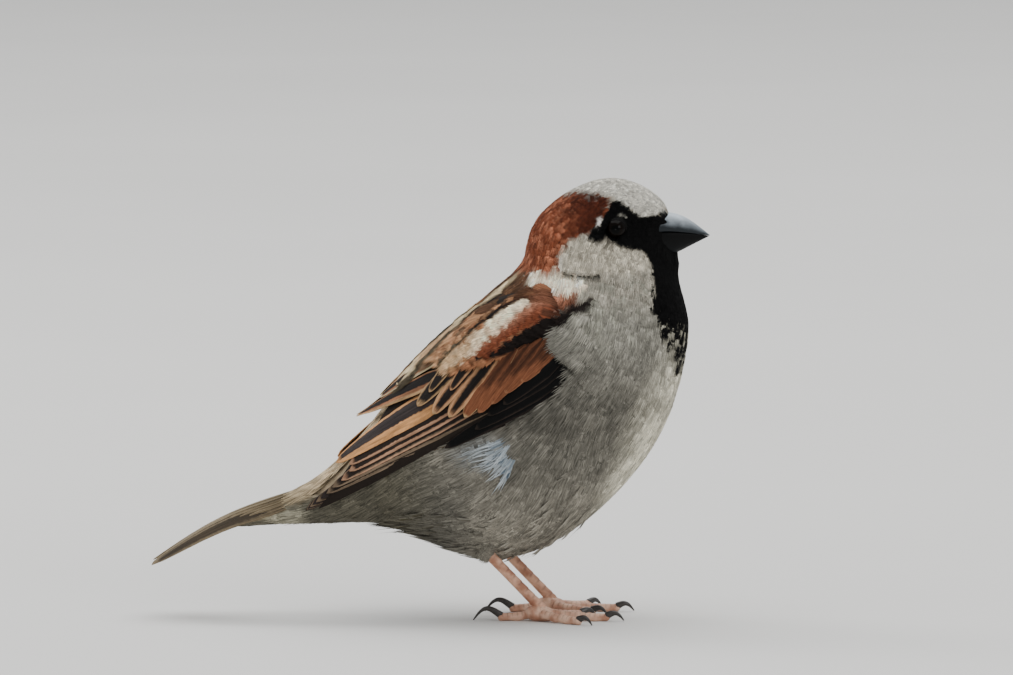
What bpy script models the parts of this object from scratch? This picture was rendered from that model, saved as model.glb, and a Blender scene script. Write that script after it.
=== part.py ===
"""A male house sparrow standing on both feet, life size, as a still model.

Frame: +X runs towards the bill, +Y to the bird's left, +Z up. The toe pads rest on Z = 0, and the origin is the
middle of the bird's length, under its midline. Sizes are in millimetres, and new_mesh() makes them metres.
"""

import math

import bmesh
import bpy
import numpy as np
from mathutils import Vector

MM = 0.001
GAP = 0.3  # clear space between neighbouring pieces
SIDES = {"left": 1, "right": -1}

# Body: cross-sections from the undertail to the bill's root. Each lies in the plane through its two outline points:
# (x, z) on the back, (x, z) on the belly, half width, and how far the widest part is shifted up (+) or down (-).
BODY_SECTIONS = (
    (-38.0, 26.2, -39.0, 20.9, 3.4, 0.00),  # tips of the tail coverts
    (-27.0, 31.2, -29.0, 20.9, 6.0, 0.00),  # root of the tail
    (-17.0, 40.2, -18.0, 21.2, 9.6, 0.00),  # vent
    (-8.4, 51.0, -8.0, 20.6, 14.4, 0.00),  # rump
    (-0.4, 60.6, 3.0, 17.0, 18.2, -0.04),  # loins
    (6.8, 68.0, 14.0, 13.8, 20.8, -0.08),  # lower back
    (13.6, 74.2, 26.0, 16.4, 22.0, -0.10),  # mantle
    (18.4, 78.2, 38.0, 24.6, 22.0, -0.10),  # shoulders
    (20.8, 80.8, 48.0, 35.4, 20.8, -0.08),  # breast
    (21.8, 83.2, 54.4, 46.8, 18.6, -0.04),  # upper breast
    (22.3, 86.2, 57.6, 58.0, 15.6, 0.00),  # base of the neck
    (24.2, 90.6, 58.6, 67.0, 12.4, 0.00),  # neck and nape
    (28.4, 95.0, 57.2, 74.0, 10.4, 0.10),  # cheeks
    (34.4, 98.6, 56.3, 78.0, 8.1, 0.26),  # crown
    (41.4, 100.2, 56.4, 80.6, 5.9, 0.38),  # eyes
    (48.2, 98.5, 56.5, 82.4, 4.2, 0.42),  # forehead
    (52.6, 95.3, 56.5, 83.6, 2.9, 0.20),  # face
    (54.0, 93.2, 56.3, 84.4, 2.2, 0.10),  # root of the bill
)
BODY_RINGS, BODY_ROUND = 30, 24
# Swellings and hollows of the body's side: (x, z) of the middle, radius, how far out (+) or in (-).
BODY_SWELLS = (
    (34.5, 84.5, 6.0, 0.7),  # cheek
    (42.0, 89.6, 4.2, -0.4),  # hollow that the eye lies in
    (30.0, 78.5, 5.0, -0.6),  # fold under the cheek
)

# Planes that part the body, each through a point of the back and one of the belly (x, z).
HEAD_CUT = ((21.5, 83.6), (57.2, 76.4))
NECK_CUT = ((20.5, 79.8), (58.6, 65.6))
RUMP_CUT = ((-14.4, 44.0), (-11.6, 19.6))

# Bill: outlines from the hidden root to the tip, (x, z).
BILL_TIP = (63.6, 87.5)
CULMEN = ((47.0, 93.6), (54.0, 92.7), (58.6, 91.2), BILL_TIP)
CUTTING_EDGE = ((47.0, 87.4), (52.0, 88.4), (57.6, 88.2), (BILL_TIP[0] - 0.1, BILL_TIP[1] - 0.2))
GONYS = ((47.0, 82.4), (54.0, 82.9), (58.4, 84.6), (BILL_TIP[0] - 0.7, BILL_TIP[1] - 0.6))
BILL_HALF_WIDTH, BILL_TIP_HALF = 4.1, 0.3
BILL_RINGS, BILL_ARC = 8, 11

EYE_CENTRE = (42.0, 7.15, 89.4)  # of the left eye
EYE_RADIUS = 2.6

# Folded wing, wrist to tip: its lower edge as (x, z) seen from the side, and its upper edge as places on the body
# counted in sections, with the turn from the back in degrees.
WING_LOWER = ((32.5, 56.0), (23.5, 50.3), (12.4, 43.8), (1.0, 37.2), (-10.3, 31.2), (-20.0, 26.8), (-30.0, 23.4))
WING_UPPER = ((9.0, 56.0), (7.8, 36.0), (6.4, 20.0), (5.0, 9.0), (3.6, 5.0), (2.2, 8.0), (0.6, 40.0))
WING_FRONT_ROUND = 0.09  # how far the front's corners fall back, as a share of the wing's length
WING_PROUD = 1.7  # how far the wing's face stands off the body
TERTIAL_LIFT = 2.6  # how much farther the long inner feathers stand off at their tips
WING_LAYER = 1.0  # depth from one layer of feathers to the next
WING_SKIN = 0.75  # thickness of one layer
COVERTS_END, FEATHERS_START = 0.47, 0.40  # shares of the wing's length
WING_ROWS, WING_COLUMNS = 7, 11

# Tail: twelve closed feathers, whose middle line (x, z) is the ridge of a low roof.
TAIL_RIDGE = ((-23.0, 31.4), (-36.0, 27.4), (-49.5, 22.0), (-63.7, 13.1))
TAIL_HALF_WIDTHS = (3.6, 4.8, 6.0, 6.9)
TAIL_ROOF = (2.2, 2.6, 2.3, 1.2)  # drop from the ridge to the edge
TAIL_THICK = 0.9
TAIL_FEATHERS, TAIL_ROWS = 12, 5
TAIL_SCALLOP, TAIL_NOTCH = 0.9, 1.5  # roundness of each tip, and the shallow fork between the halves

# Legs, as on the right. The left foot stands farther ahead.
LEFT_LEG_AHEAD = 2.6
FOOT = (24.9, 8.5, 3.2)
ANKLE = (12.6, 8.9, 16.0)
THIGH_LINE = ((23.0, 13.4, 35.0), (18.2, 12.9, 25.5), ANKLE)
THIGH_RADII = (2.4, 4.9, 5.6, 5.0, 3.6, 2.4, 1.9)
SHANK_RADIUS, SHANK_DEPTH = 0.92, 1.3  # half its width, and its depth to its width
PALM_REACH, PALM_HALF_WIDTH, PALM_HALF_HEIGHT = 3.4, 2.5, 1.9

# Toes: heading from +X towards the outer side in degrees, how far the root lies from the joint along the heading and
# towards the outer side, length, claw length, and how high the claw arches.
TOES = {
    "hind": (180.0, 1.2, 0.0, 8.4, 5.4, 2.0),
    "inner": (-24.0, 1.6, -1.7, 9.6, 2.8, 0.9),
    "middle": (3.0, 1.8, 0.0, 14.2, 3.0, 1.0),
    "outer": (36.0, 1.4, 1.6, 10.2, 2.8, 0.9),
}
TOE_RADIUS, TOE_TIP_RADIUS = 1.1, 0.95
TOE_HEIGHT = 0.85  # of a toe's middle line, less than its radius, so that a narrow flat rests on the floor
CLAW_RADIUS, CLAW_TIP_RADIUS = 0.62, 0.26

PLUMAGE = {
    "grey": (0.36, 0.34, 0.30),
    "chestnut": (0.20, 0.06, 0.03),
    "rufous": (0.32, 0.15, 0.07),
    "brown": (0.12, 0.085, 0.06),
    "olive": (0.26, 0.23, 0.15),
}
BILL_SLATE, CLAW_SLATE = (0.03, 0.035, 0.04), (0.025, 0.022, 0.02)
EYE_BLACK, LEG_PINK = (0.012, 0.009, 0.007), (0.42, 0.22, 0.14)


def cubic_through(rows, at):
    """The rows that a natural cubic spline through these rows gives at places counted in rows."""
    rows, at = np.asarray(rows, float), np.asarray(at, float)
    count = len(rows)
    system, right = np.eye(count), np.zeros_like(rows)
    for i in range(1, count - 1):
        system[i, i - 1 : i + 2] = 1, 4, 1
        right[i] = 6 * (rows[i - 1] - 2 * rows[i] + rows[i + 1])
    bend = np.linalg.solve(system, right)
    low = np.clip(at.astype(int), 0, count - 2)
    after = (at - low).reshape(at.shape + (1,) * (rows.ndim - 1))
    before = 1 - after
    curve = bend[low] * (before**3 - before) / 6 + bend[low + 1] * (after**3 - after) / 6
    return rows[low] * before + rows[low + 1] * after + curve


def body_surface(place, turn, grow=0.0):
    """Points of the body at a place counted in sections and a turn from the back round the left side, in radians."""
    back_x, back_z, belly_x, belly_z, half, shift = np.moveaxis(cubic_through(BODY_SECTIONS, place), -1, 0)
    up_x, up_z = (back_x - belly_x) / 2, (back_z - belly_z) / 2
    longer = 1 + grow / np.hypot(up_x, up_z)
    x = (back_x + belly_x) / 2 + up_x * longer * np.cos(turn)
    z = (back_z + belly_z) / 2 + up_z * longer * np.cos(turn)
    swell = sum(out * np.exp(-((x - sx) ** 2 + (z - sz) ** 2) / r**2) for sx, sz, r, out in BODY_SWELLS)
    y = (half + grow + swell) * np.sin(turn) * (1 + shift * np.cos(turn))
    return np.stack([x, y, z], -1)


def body_rings(rings, around, grow=0.0):
    place = np.linspace(0, len(BODY_SECTIONS) - 1, rings)
    turn = np.linspace(0, 2 * math.pi, around, endpoint=False)
    return body_surface(*np.meshgrid(place, turn, indexing="ij"), grow)


def spot_on_side(x, z):
    """The place and turn of the body's left side at this x and z."""
    place = np.linspace(0, len(BODY_SECTIONS) - 1, 1500)
    back_x, back_z, belly_x, belly_z = np.moveaxis(cubic_through(BODY_SECTIONS, place), -1, 0)[:4]
    up_x, up_z = (back_x - belly_x) / 2, (back_z - belly_z) / 2
    long = np.hypot(up_x, up_z)
    from_x, from_z = x - (back_x + belly_x) / 2, z - (back_z + belly_z) / 2
    off_plane = np.abs(from_x * up_z - from_z * up_x) / long
    height = (from_x * up_x + from_z * up_z) / long**2
    best = np.argmin(off_plane + 50 * np.maximum(np.abs(height) - 1, 0))
    return place[best], math.acos(np.clip(height[best], -1, 1))


def wing_spots(along, across):
    """Places and turns on the body under the left wing: along from wrist to tip, across from its lower edge up."""
    at = along * (len(WING_LOWER) - 1)
    lower = cubic_through([spot_on_side(*p) for p in WING_LOWER], at)
    upper = cubic_through([(place, math.radians(turn)) for place, turn in WING_UPPER], at)
    spots = lower + (upper - lower) * across[..., None]
    return spots[..., 0], spots[..., 1]


def wing_layer(along, across, depth):
    """Points of the left wing at a depth below its outer face."""
    lift = TERTIAL_LIFT * across**2 * np.clip((along - 0.35) / 0.4, 0, 1) ** 2
    return body_surface(*wing_spots(along, across), WING_PROUD + lift - depth)


def wing_front(across):
    """Where along the wing its round front edge lies."""
    return WING_FRONT_ROUND * np.abs(2 * across - 1) ** 3


def scallops(across, count, depth):
    """How far short each of count rounded feather tips falls, from 0 at its middle to depth at its edge."""
    return depth * np.abs(2 * ((across * count) % 1.0) - 1) ** 2


def mirrored(points, side):
    return points * np.array([1.0, side, 1.0])


def new_mesh(name, vertices, faces):
    """A mesh in metres from points in millimetres, with its faces turned outwards."""
    mesh = bpy.data.meshes.new(name)
    mesh.from_pydata([tuple(v) for v in np.asarray(vertices) * MM], [], faces)
    shape = bmesh.new()
    shape.from_mesh(mesh)
    bmesh.ops.remove_doubles(shape, verts=shape.verts, dist=0.01 * MM)
    bmesh.ops.recalc_face_normals(shape, faces=shape.faces)
    shape.to_mesh(mesh)
    shape.free()
    return mesh


def tube_faces(count, around):
    """Faces between neighbouring rings of points, with the ends open."""
    for i in range(count - 1):
        for j in range(around):
            k = (j + 1) % around
            yield i * around + j, i * around + k, (i + 1) * around + k, (i + 1) * around + j


def loft(name, rings):
    """A closed mesh through rings of points, with one face on each end."""
    count, around = rings.shape[:2]
    last = (count - 1) * around
    ends = [tuple(range(around)), tuple(range(last, last + around))]
    return new_mesh(name, rings.reshape(-1, 3), [*tube_faces(count, around), *ends])


def plate(name, outer, inner):
    """A closed mesh between two grids of points, the two faces of a plate. Its ends are strips that may curve."""
    rings = np.concatenate([outer, inner[:, ::-1]], axis=1)
    count, around = rings.shape[:2]
    ends = []
    for first in (0, (count - 1) * around):
        for j in range(around // 2 - 1):
            opposite = first + around - 1 - j
            ends.append((first + j, first + j + 1, opposite - 1, opposite))
    return new_mesh(name, rings.reshape(-1, 3), [*tube_faces(count, around), *ends])


def ball(name, centre, radius, segments, rings):
    shape = bmesh.new()
    bmesh.ops.create_uvsphere(shape, u_segments=segments, v_segments=rings, radius=radius * MM)
    bmesh.ops.translate(shape, verts=shape.verts, vec=Vector(centre) * MM)
    mesh = bpy.data.meshes.new(name)
    shape.to_mesh(mesh)
    shape.free()
    return mesh


def tube_rings(path, radii, around, tall=1.0):
    """Rings along a path, each at right angles to it, with these radii and tall times as high as wide."""
    path, radii = np.asarray(path, float), np.asarray(radii, float)
    ahead = np.gradient(path, axis=0)
    ahead /= np.linalg.norm(ahead, axis=1, keepdims=True)
    side = np.cross(np.array([0.0, 0.0, 1.0]), ahead)
    side /= np.linalg.norm(side, axis=1, keepdims=True)
    up = np.cross(ahead, side)
    turn = (np.arange(around) + 0.5) * 2 * math.pi / around
    across = side[:, None] * np.cos(turn)[None, :, None]
    height = up[:, None] * np.sin(turn)[None, :, None] * tall
    return path[:, None] + (across + height) * radii[:, None, None]


def flat_soled(rings):
    """The rings with nothing below the floor, so that the sole is a flat at Z = 0."""
    rings[..., 2] = np.maximum(rings[..., 2], 0)
    return rings


def new_part(name, mesh, colour, roughness):
    """A visible piece with its own material."""
    obj = bpy.data.objects.new(name, mesh)
    model.objects.link(obj)
    material = bpy.data.materials.new(name)
    material.use_nodes = True
    shader = material.node_tree.nodes["Principled BSDF"]
    shader.inputs["Base Color"].default_value = (*colour, 1)
    shader.inputs["Roughness"].default_value = roughness
    mesh.materials.append(material)
    mesh.shade_smooth()
    mesh.set_sharp_from_angle(angle=math.radians(40))
    return obj


def new_cutter(name, mesh):
    obj = bpy.data.objects.new(name, mesh)
    cutters.objects.link(obj)
    obj.hide_render = True
    obj.display_type = "WIRE"
    return obj


def cut(obj, *tools):
    """Takes the tools' shapes out of the object."""
    for tool in tools:
        modifier = obj.modifiers.new("cut_by_" + tool.name, "BOOLEAN")
        modifier.operation = "DIFFERENCE"
        modifier.solver = "EXACT"
        modifier.object = tool
    return obj


def keep_side(mesh, plane, forward):
    """Cuts the mesh at the plane through two outline points and keeps the side towards the head if forward is 1, or
    towards the tail if it is -1. The cut is closed half a gap short of the plane."""
    (back_x, back_z), (belly_x, belly_z) = plane
    normal = Vector((back_z - belly_z, 0, belly_x - back_x)).normalized() * forward
    spot = (Vector((back_x, 0, back_z)) + normal * GAP / 2) * MM
    shape = bmesh.new()
    shape.from_mesh(mesh)
    everything = [*shape.verts, *shape.edges, *shape.faces]
    made = bmesh.ops.bisect_plane(
        shape, geom=everything, dist=1e-7, plane_co=spot, plane_no=normal, clear_inner=True
    )
    rim = [item for item in made["geom_cut"] if isinstance(item, bmesh.types.BMEdge)]
    bmesh.ops.edgeloop_fill(shape, edges=rim)
    bmesh.ops.recalc_face_normals(shape, faces=shape.faces)
    shape.to_mesh(mesh)
    shape.free()
    return mesh


def bill_lines():
    """Along the bill: x and z of the ridge, the cutting edge and the keel, and the half width."""
    share = 1 - (1 - np.linspace(0, 1, BILL_RINGS)) ** 1.5
    ridge, edge, keel = (cubic_through(line, share * 3) for line in (CULMEN, CUTTING_EDGE, GONYS))
    half = BILL_TIP_HALF + (BILL_HALF_WIDTH - BILL_TIP_HALF) * (1 - share**2.1)
    return ridge, edge, keel, half


def bill_half(upper):
    """Half-round rings on one side of the cutting edge."""
    ridge, edge, keel, half = bill_lines()
    outline = ridge if upper else keel
    reach = (outline - edge) - np.array([0.0, GAP / 2 if upper else -GAP / 2])
    reach[:, 1] = np.maximum(reach[:, 1], 0.2) if upper else np.minimum(reach[:, 1], -0.2)
    start = outline - reach
    turn = np.linspace(0, math.pi, BILL_ARC)
    rings = np.zeros((BILL_RINGS, BILL_ARC, 3))
    rings[..., 0] = start[:, :1] + reach[:, :1] * np.sin(turn)
    rings[..., 1] = (half if upper else 0.92 * half)[:, None] * np.cos(turn)
    rings[..., 2] = start[:, 1:] + reach[:, 1:] * np.sin(turn)
    return rings


def bill_socket():
    """The whole bill, larger by a gap."""
    ridge, _, keel, half = bill_lines()
    turn = np.linspace(0, 2 * math.pi, BILL_ARC + 5, endpoint=False)
    middle, reach = (ridge + keel) / 2, (ridge - keel) / 2
    reach *= (1 + GAP / np.linalg.norm(reach, axis=1))[:, None]
    rings = np.zeros((BILL_RINGS, len(turn), 3))
    rings[..., 0] = middle[:, :1] + reach[:, :1] * np.cos(turn)
    rings[..., 1] = (half + GAP)[:, None] * np.sin(turn)
    rings[..., 2] = middle[:, 1:] + reach[:, 1:] * np.cos(turn)
    rings[0, :, 0] -= GAP
    return rings


def make_body():
    """Head, neck, trunk and tail coverts: one lofted body, parted by planes."""

    def piece(name, colour, *sides):
        mesh = loft(name, body_rings(BODY_RINGS, BODY_ROUND))
        for plane, forward in sides:
            keep_side(mesh, plane, forward)
        return new_part(name, mesh, PLUMAGE[colour], 0.85)

    head = piece("head", "chestnut", (HEAD_CUT, 1))
    piece("neck", "grey", (HEAD_CUT, -1), (NECK_CUT, 1))
    trunk = piece("trunk", "grey", (NECK_CUT, -1), (RUMP_CUT, 1))
    coverts = piece("tail_coverts", "olive", (RUMP_CUT, -1))
    return head, trunk, coverts


def make_bill(head):
    new_part("bill_upper", loft("bill_upper", bill_half(True)), BILL_SLATE, 0.35)
    new_part("bill_lower", loft("bill_lower", bill_half(False)), BILL_SLATE, 0.35)
    cut(head, new_cutter("bill_socket", loft("bill_socket", bill_socket())))


def make_eyes(head):
    for label, side in SIDES.items():
        centre = mirrored(np.array(EYE_CENTRE), side)
        new_part("eye_" + label, ball("eye_" + label, centre, EYE_RADIUS, 14, 8), EYE_BLACK, 0.05)
        cut(head, new_cutter("eye_socket_" + label, ball("eye_socket", centre, EYE_RADIUS + GAP, 14, 8)))


def tail_plate(grow=0.0):
    """Upper and lower face of the closed tail. Each feather steps down from the one above and has a round tip."""
    columns = 2 * TAIL_FEATHERS + 1
    share, across = np.meshgrid(np.linspace(0, 1, TAIL_ROWS), np.linspace(-1, 1, columns), indexing="ij")
    short = scallops((across + 1) / 2, TAIL_FEATHERS // 2, TAIL_SCALLOP)
    short = short + TAIL_NOTCH * (1 - np.abs(across)) ** 2
    at = share * 3
    ridge = cubic_through(TAIL_RIDGE, at)
    half, roof = cubic_through(TAIL_HALF_WIDTHS, at) + grow, cubic_through(TAIL_ROOF, at)
    step = 0.2 * ((np.abs(across) * TAIL_FEATHERS / 2) % 1.0)
    shrink = 0 if grow else 1
    x = ridge[..., 0] + grow * (1 - 2 * share) + shrink * short * share**4
    top = np.stack([x, half * across, ridge[..., 1] - roof * across**2 - shrink * step], -1)
    bottom = top - np.array([0.0, 0.0, TAIL_THICK])
    # The roof slopes, so the clearance above and below it is measured upright and is larger.
    top[..., 2] += 1.5 * grow
    bottom[..., 2] -= 2.0 * grow
    return top, bottom


def make_tail(coverts):
    hole = new_cutter("tail_hole", plate("tail_hole", *tail_plate(GAP)))
    cut(coverts, hole)
    new_part("tail", plate("tail", *tail_plate()), PLUMAGE["brown"], 0.7)
    return hole


def wing_shapes():
    """Each layer of the wing: its name, colour, grid along and across, and the depths of its two faces."""
    rows, columns = np.linspace(0, 1, WING_ROWS), np.linspace(0, 1, WING_COLUMNS)
    buried = 2 * WING_LAYER + WING_SKIN

    def grid(start, end, low, high):
        share, across = np.meshgrid(rows, low + (high - low) * columns, indexing="ij")
        return start(across) + (end(across) - start(across)) * share, across

    def hidden_roots(c):
        return 0 * c + FEATHERS_START

    def covert_tips(c):
        return COVERTS_END - 0.06 * (1 - c) ** 2 - scallops(c, 4, 0.02)

    def tertial_tips(c):
        return 0.89 - scallops(c, 3, 0.05)

    def primary_tips(c):
        return 1.0 - 0.30 * c**2 - scallops(c, 3, 0.02)

    along, across = grid(wing_front, covert_tips, 0.0, 1.0)
    # The wing is thick as far as the row of points before the long feathers start.
    inner = np.where(along < FEATHERS_START - COVERTS_END / (WING_ROWS - 1), buried, WING_SKIN - 0.05)
    yield "coverts", "chestnut", along, across, 0 * along, inner
    along, across = grid(hidden_roots, tertial_tips, 0.34, 1.0)
    yield "tertials", "rufous", along, across, 0 * along + WING_LAYER, 0 * along + WING_LAYER + WING_SKIN - 0.05
    along, across = grid(hidden_roots, primary_tips, 0.0, 0.72)
    yield "primaries", "brown", along, across, 0 * along + 2 * WING_LAYER, 0 * along + buried


def make_wings(trunk, coverts, tail_hole):
    columns = np.concatenate([[-0.03], np.linspace(0, 1, WING_COLUMNS), [1.02]])
    along, across = np.meshgrid(np.linspace(0, 1, 12), columns, indexing="ij")
    front = wing_front(np.clip(across, 0, 1)) - 0.015
    along = front + (1.01 - front) * along
    outside = wing_layer(along, across, 0 * along - 3)
    inside = wing_layer(along, across, 0 * along + 2 * WING_LAYER + WING_SKIN + 2 * GAP)
    for label, side in SIDES.items():
        mesh = plate("wing_pocket", mirrored(outside, side), mirrored(inside, side))
        pocket = new_cutter("wing_pocket_" + label, mesh)
        cut(trunk, pocket)
        cut(coverts, pocket)
        for layer, colour, along_grid, across_grid, outer, inner in wing_shapes():
            faces = (mirrored(wing_layer(along_grid, across_grid, depth), side) for depth in (outer, inner))
            name = f"wing_{label}_{layer}"
            piece = new_part(name, plate(name, *faces), PLUMAGE[colour], 0.7)
            if layer == "primaries":
                cut(piece, tail_hole)


def leg_points(side, *points):
    """The points of the leg on this side."""
    ahead = np.array([LEFT_LEG_AHEAD if side > 0 else 0.0, 0.0, 0.0])
    return [mirrored(np.array(point) + ahead, side) for point in points]


def thigh_rings(side, grow=0.0):
    share = np.linspace(-0.02 if grow else 0, 1.02 if grow else 1, len(THIGH_RADII))
    path = cubic_through(leg_points(side, *THIGH_LINE), share * (len(THIGH_LINE) - 1))
    return tube_rings(path, np.array(THIGH_RADII) + grow, 12)


def palm_rings(foot, grow=0.0):
    share = np.linspace(-1, 1, 7)
    path = foot + np.array([1.0, 0.0, 0.0]) * ((PALM_REACH + grow) * share)[:, None]
    path[:, 2] = PALM_HALF_HEIGHT - 0.25 - 0.3 * share
    radii = PALM_HALF_WIDTH * np.sqrt(np.maximum(1 - (0.86 * share) ** 2, 0)) + grow
    rings = tube_rings(path, radii, 12, tall=PALM_HALF_HEIGHT / PALM_HALF_WIDTH)
    return rings if grow else flat_soled(rings)


def make_legs(trunk, body_tool):
    for label, side in SIDES.items():
        ankle, foot = leg_points(side, ANKLE, FOOT)
        palm_tool = new_cutter("palm_tool_" + label, loft("palm_tool", palm_rings(foot, GAP)))
        new_part("foot_" + label, loft("foot", palm_rings(foot)), LEG_PINK, 0.5)
        thigh_tool = new_cutter("thigh_tool_" + label, loft("thigh_tool", thigh_rings(side, GAP)))
        new_part("thigh_" + label, loft("thigh", thigh_rings(side)), PLUMAGE["grey"], 0.85)
        cut(trunk, thigh_tool)
        start = ankle + (foot - ankle) * GAP / np.linalg.norm(foot - ankle)
        share = np.linspace(0, 1, 8)
        waist = 1 + 0.18 * np.abs(2 * share - 1) ** 3
        rings = tube_rings(start + (foot - start) * share[:, None], SHANK_RADIUS * waist, 10, SHANK_DEPTH)
        cut(new_part("shank_" + label, loft("shank", rings), LEG_PINK, 0.5), palm_tool, body_tool, thigh_tool)
        for toe, spec in TOES.items():
            make_toe(f"{label}_{toe}", side, foot, palm_tool, *spec)


def make_toe(label, side, foot, palm_tool, heading, start, outward, length, claw_length, arch):
    """A toe that lies along the floor with its knuckles, and the curved claw that goes on from it."""
    angle = math.radians(heading)
    ahead = np.array([math.cos(angle), math.sin(angle) * side, 0.0])
    root = foot * np.array([1.0, 1.0, 0.0]) + np.array([0.0, outward * side, 0.0])
    share = np.linspace(0, 1, 9)
    knuckles = 1 + 0.09 * np.cos(6 * math.pi * share)
    path = root + ahead * (start + length * share)[:, None]
    path[:, 2] = TOE_HEIGHT + 0.7 * (1 - share) ** 3
    rings = flat_soled(tube_rings(path, (TOE_RADIUS + (TOE_TIP_RADIUS - TOE_RADIUS) * share) * knuckles, 8))
    cut(new_part("toe_" + label, loft("toe", rings), LEG_PINK, 0.5), palm_tool)
    share = np.linspace(0, 1, 6)
    path = root + ahead * (start + length + GAP + claw_length * share)[:, None]
    path[:, 2] = 1.25 * (1 - share**1.6) + CLAW_TIP_RADIUS * share + arch * np.sin(math.pi * share**1.2)
    rings = flat_soled(tube_rings(path, CLAW_RADIUS + (CLAW_TIP_RADIUS - CLAW_RADIUS) * share, 6))
    new_part("claw_" + label, loft("claw", rings), CLAW_SLATE, 0.3)


for old in list(bpy.data.objects):
    bpy.data.objects.remove(old, do_unlink=True)
model = bpy.data.collections.new("house_sparrow")
cutters = bpy.data.collections.new("cutters")
bpy.context.scene.collection.children.link(model)
bpy.context.scene.collection.children.link(cutters)

head_piece, trunk_piece, covert_piece = make_body()
make_bill(head_piece)
make_eyes(head_piece)
tail_cutter = make_tail(covert_piece)
make_wings(trunk_piece, covert_piece, tail_cutter)
make_legs(trunk_piece, new_cutter("body_tool", loft("body_tool", body_rings(BODY_RINGS, BODY_ROUND, GAP))))
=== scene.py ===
import math

import bpy
import numpy as np
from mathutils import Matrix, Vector
from mathutils.kdtree import KDTree


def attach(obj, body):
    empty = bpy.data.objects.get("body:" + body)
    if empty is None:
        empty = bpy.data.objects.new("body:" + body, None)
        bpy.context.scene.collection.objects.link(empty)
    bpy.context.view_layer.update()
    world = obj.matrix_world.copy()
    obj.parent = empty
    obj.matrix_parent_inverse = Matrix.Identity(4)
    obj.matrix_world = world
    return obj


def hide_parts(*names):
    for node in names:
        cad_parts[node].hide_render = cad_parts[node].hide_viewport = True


# A male house sparrow, life size. Shapes are worked out in millimetres and become metres in makeMesh.
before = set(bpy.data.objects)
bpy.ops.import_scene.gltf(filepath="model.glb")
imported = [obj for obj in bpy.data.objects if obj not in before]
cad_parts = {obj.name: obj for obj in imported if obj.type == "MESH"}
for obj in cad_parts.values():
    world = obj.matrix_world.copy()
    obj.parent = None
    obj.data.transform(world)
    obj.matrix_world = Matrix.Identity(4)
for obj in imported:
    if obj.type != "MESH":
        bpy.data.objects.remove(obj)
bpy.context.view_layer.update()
mm = 0.001
sides = {"left": 1, "right": -1}
print("frame loaded:", len(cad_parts), "nodes")


def splineThrough(rows):
    # natural cubic spline through rows of numbers, read at places counted in rows
    rows = np.asarray(rows, float)
    count = len(rows)
    system, right = np.eye(count), np.zeros_like(rows)
    for i in range(1, count - 1):
        system[i, i - 1:i + 2] = 1, 4, 1
        right[i] = 6 * (rows[i - 1] - 2 * rows[i] + rows[i + 1])
    bend = np.linalg.solve(system, right)

    def read(at):
        at = np.asarray(at, float)
        low = np.clip(at.astype(int), 0, count - 2)
        after = (at - low)[..., None]
        before = 1 - after
        curve = bend[low] * (before ** 3 - before) / 6 + bend[low + 1] * (after ** 3 - after) / 6
        return rows[low] * before + rows[low + 1] * after + curve

    return read


def unit(vectors):
    # each vector over its own length
    return vectors / np.maximum(np.linalg.norm(vectors, axis=-1, keepdims=True), 1e-9)


def smooth(value, start, end):
    # 0 before start, 1 after end, and a soft step between
    t = np.clip((value - start) / (end - start), 0, 1)
    return t * t * (3 - 2 * t)


def mirrored(points, side):
    # y times side: 1 for the left, and -1 for the right
    return points * np.array([1.0, side, 1.0])


# Cross-sections of the plumage from the undertail to the bill's root: back x and z, belly x and z,
# half width, and how far up the widest part lies.
bodySections = (
    (-38.0, 26.2, -39.0, 20.9, 3.4, 0.00),
    (-27.0, 31.2, -29.0, 20.9, 6.0, 0.00),
    (-17.0, 40.2, -18.0, 21.2, 9.6, 0.00),
    (-8.4, 51.0, -8.0, 20.6, 14.4, 0.00),
    (-0.4, 60.6, 3.0, 17.0, 18.2, -0.04),
    (6.8, 68.0, 14.0, 13.8, 20.8, -0.08),
    (13.6, 74.2, 26.0, 16.4, 22.0, -0.10),
    (18.4, 78.2, 38.0, 24.6, 22.0, -0.10),
    (20.8, 80.8, 48.0, 35.4, 20.8, -0.08),
    (21.8, 83.2, 54.4, 46.8, 18.6, -0.04),
    (22.3, 86.2, 57.6, 58.0, 15.6, 0.00),
    (24.2, 90.6, 58.6, 67.0, 12.4, 0.00),
    (28.4, 95.0, 57.2, 74.0, 10.4, 0.10),
    (34.4, 98.6, 56.3, 78.0, 8.1, 0.26),
    (41.4, 100.2, 56.4, 80.6, 5.9, 0.38),
    (48.2, 98.5, 56.5, 82.4, 4.2, 0.42),
    (52.6, 95.3, 56.5, 83.6, 2.9, 0.20),
    (54.0, 93.2, 56.3, 84.4, 2.2, 0.10),
)
lastPlace = len(bodySections) - 1
bodyLine = splineThrough(bodySections)
# small swells and dips of the head and neck: x and z of the middle, radius, how far out
bodySwells = ((34.5, 84.5, 6.0, 0.7), (42.0, 89.6, 4.2, -0.4), (30.0, 78.5, 5.0, -0.6))


def bodySurface(place, turn, grow=0.0):
    # In a section's plane: middle + up * cos(turn), and half width * sin(turn) to the left.
    backX, backZ, bellyX, bellyZ, half, shift = np.moveaxis(bodyLine(place), -1, 0)
    upX, upZ = (backX - bellyX) / 2, (backZ - bellyZ) / 2
    longer = 1 + grow / np.hypot(upX, upZ)
    x = (backX + bellyX) / 2 + upX * longer * np.cos(turn)
    z = (backZ + bellyZ) / 2 + upZ * longer * np.cos(turn)
    swell = sum(out * np.exp(-((x - sx) ** 2 + (z - sz) ** 2) / r ** 2) for sx, sz, r, out in bodySwells)
    y = (half + grow + swell) * np.sin(turn) * (1 + shift * np.cos(turn))
    return np.stack([x, y, z], -1)


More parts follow.
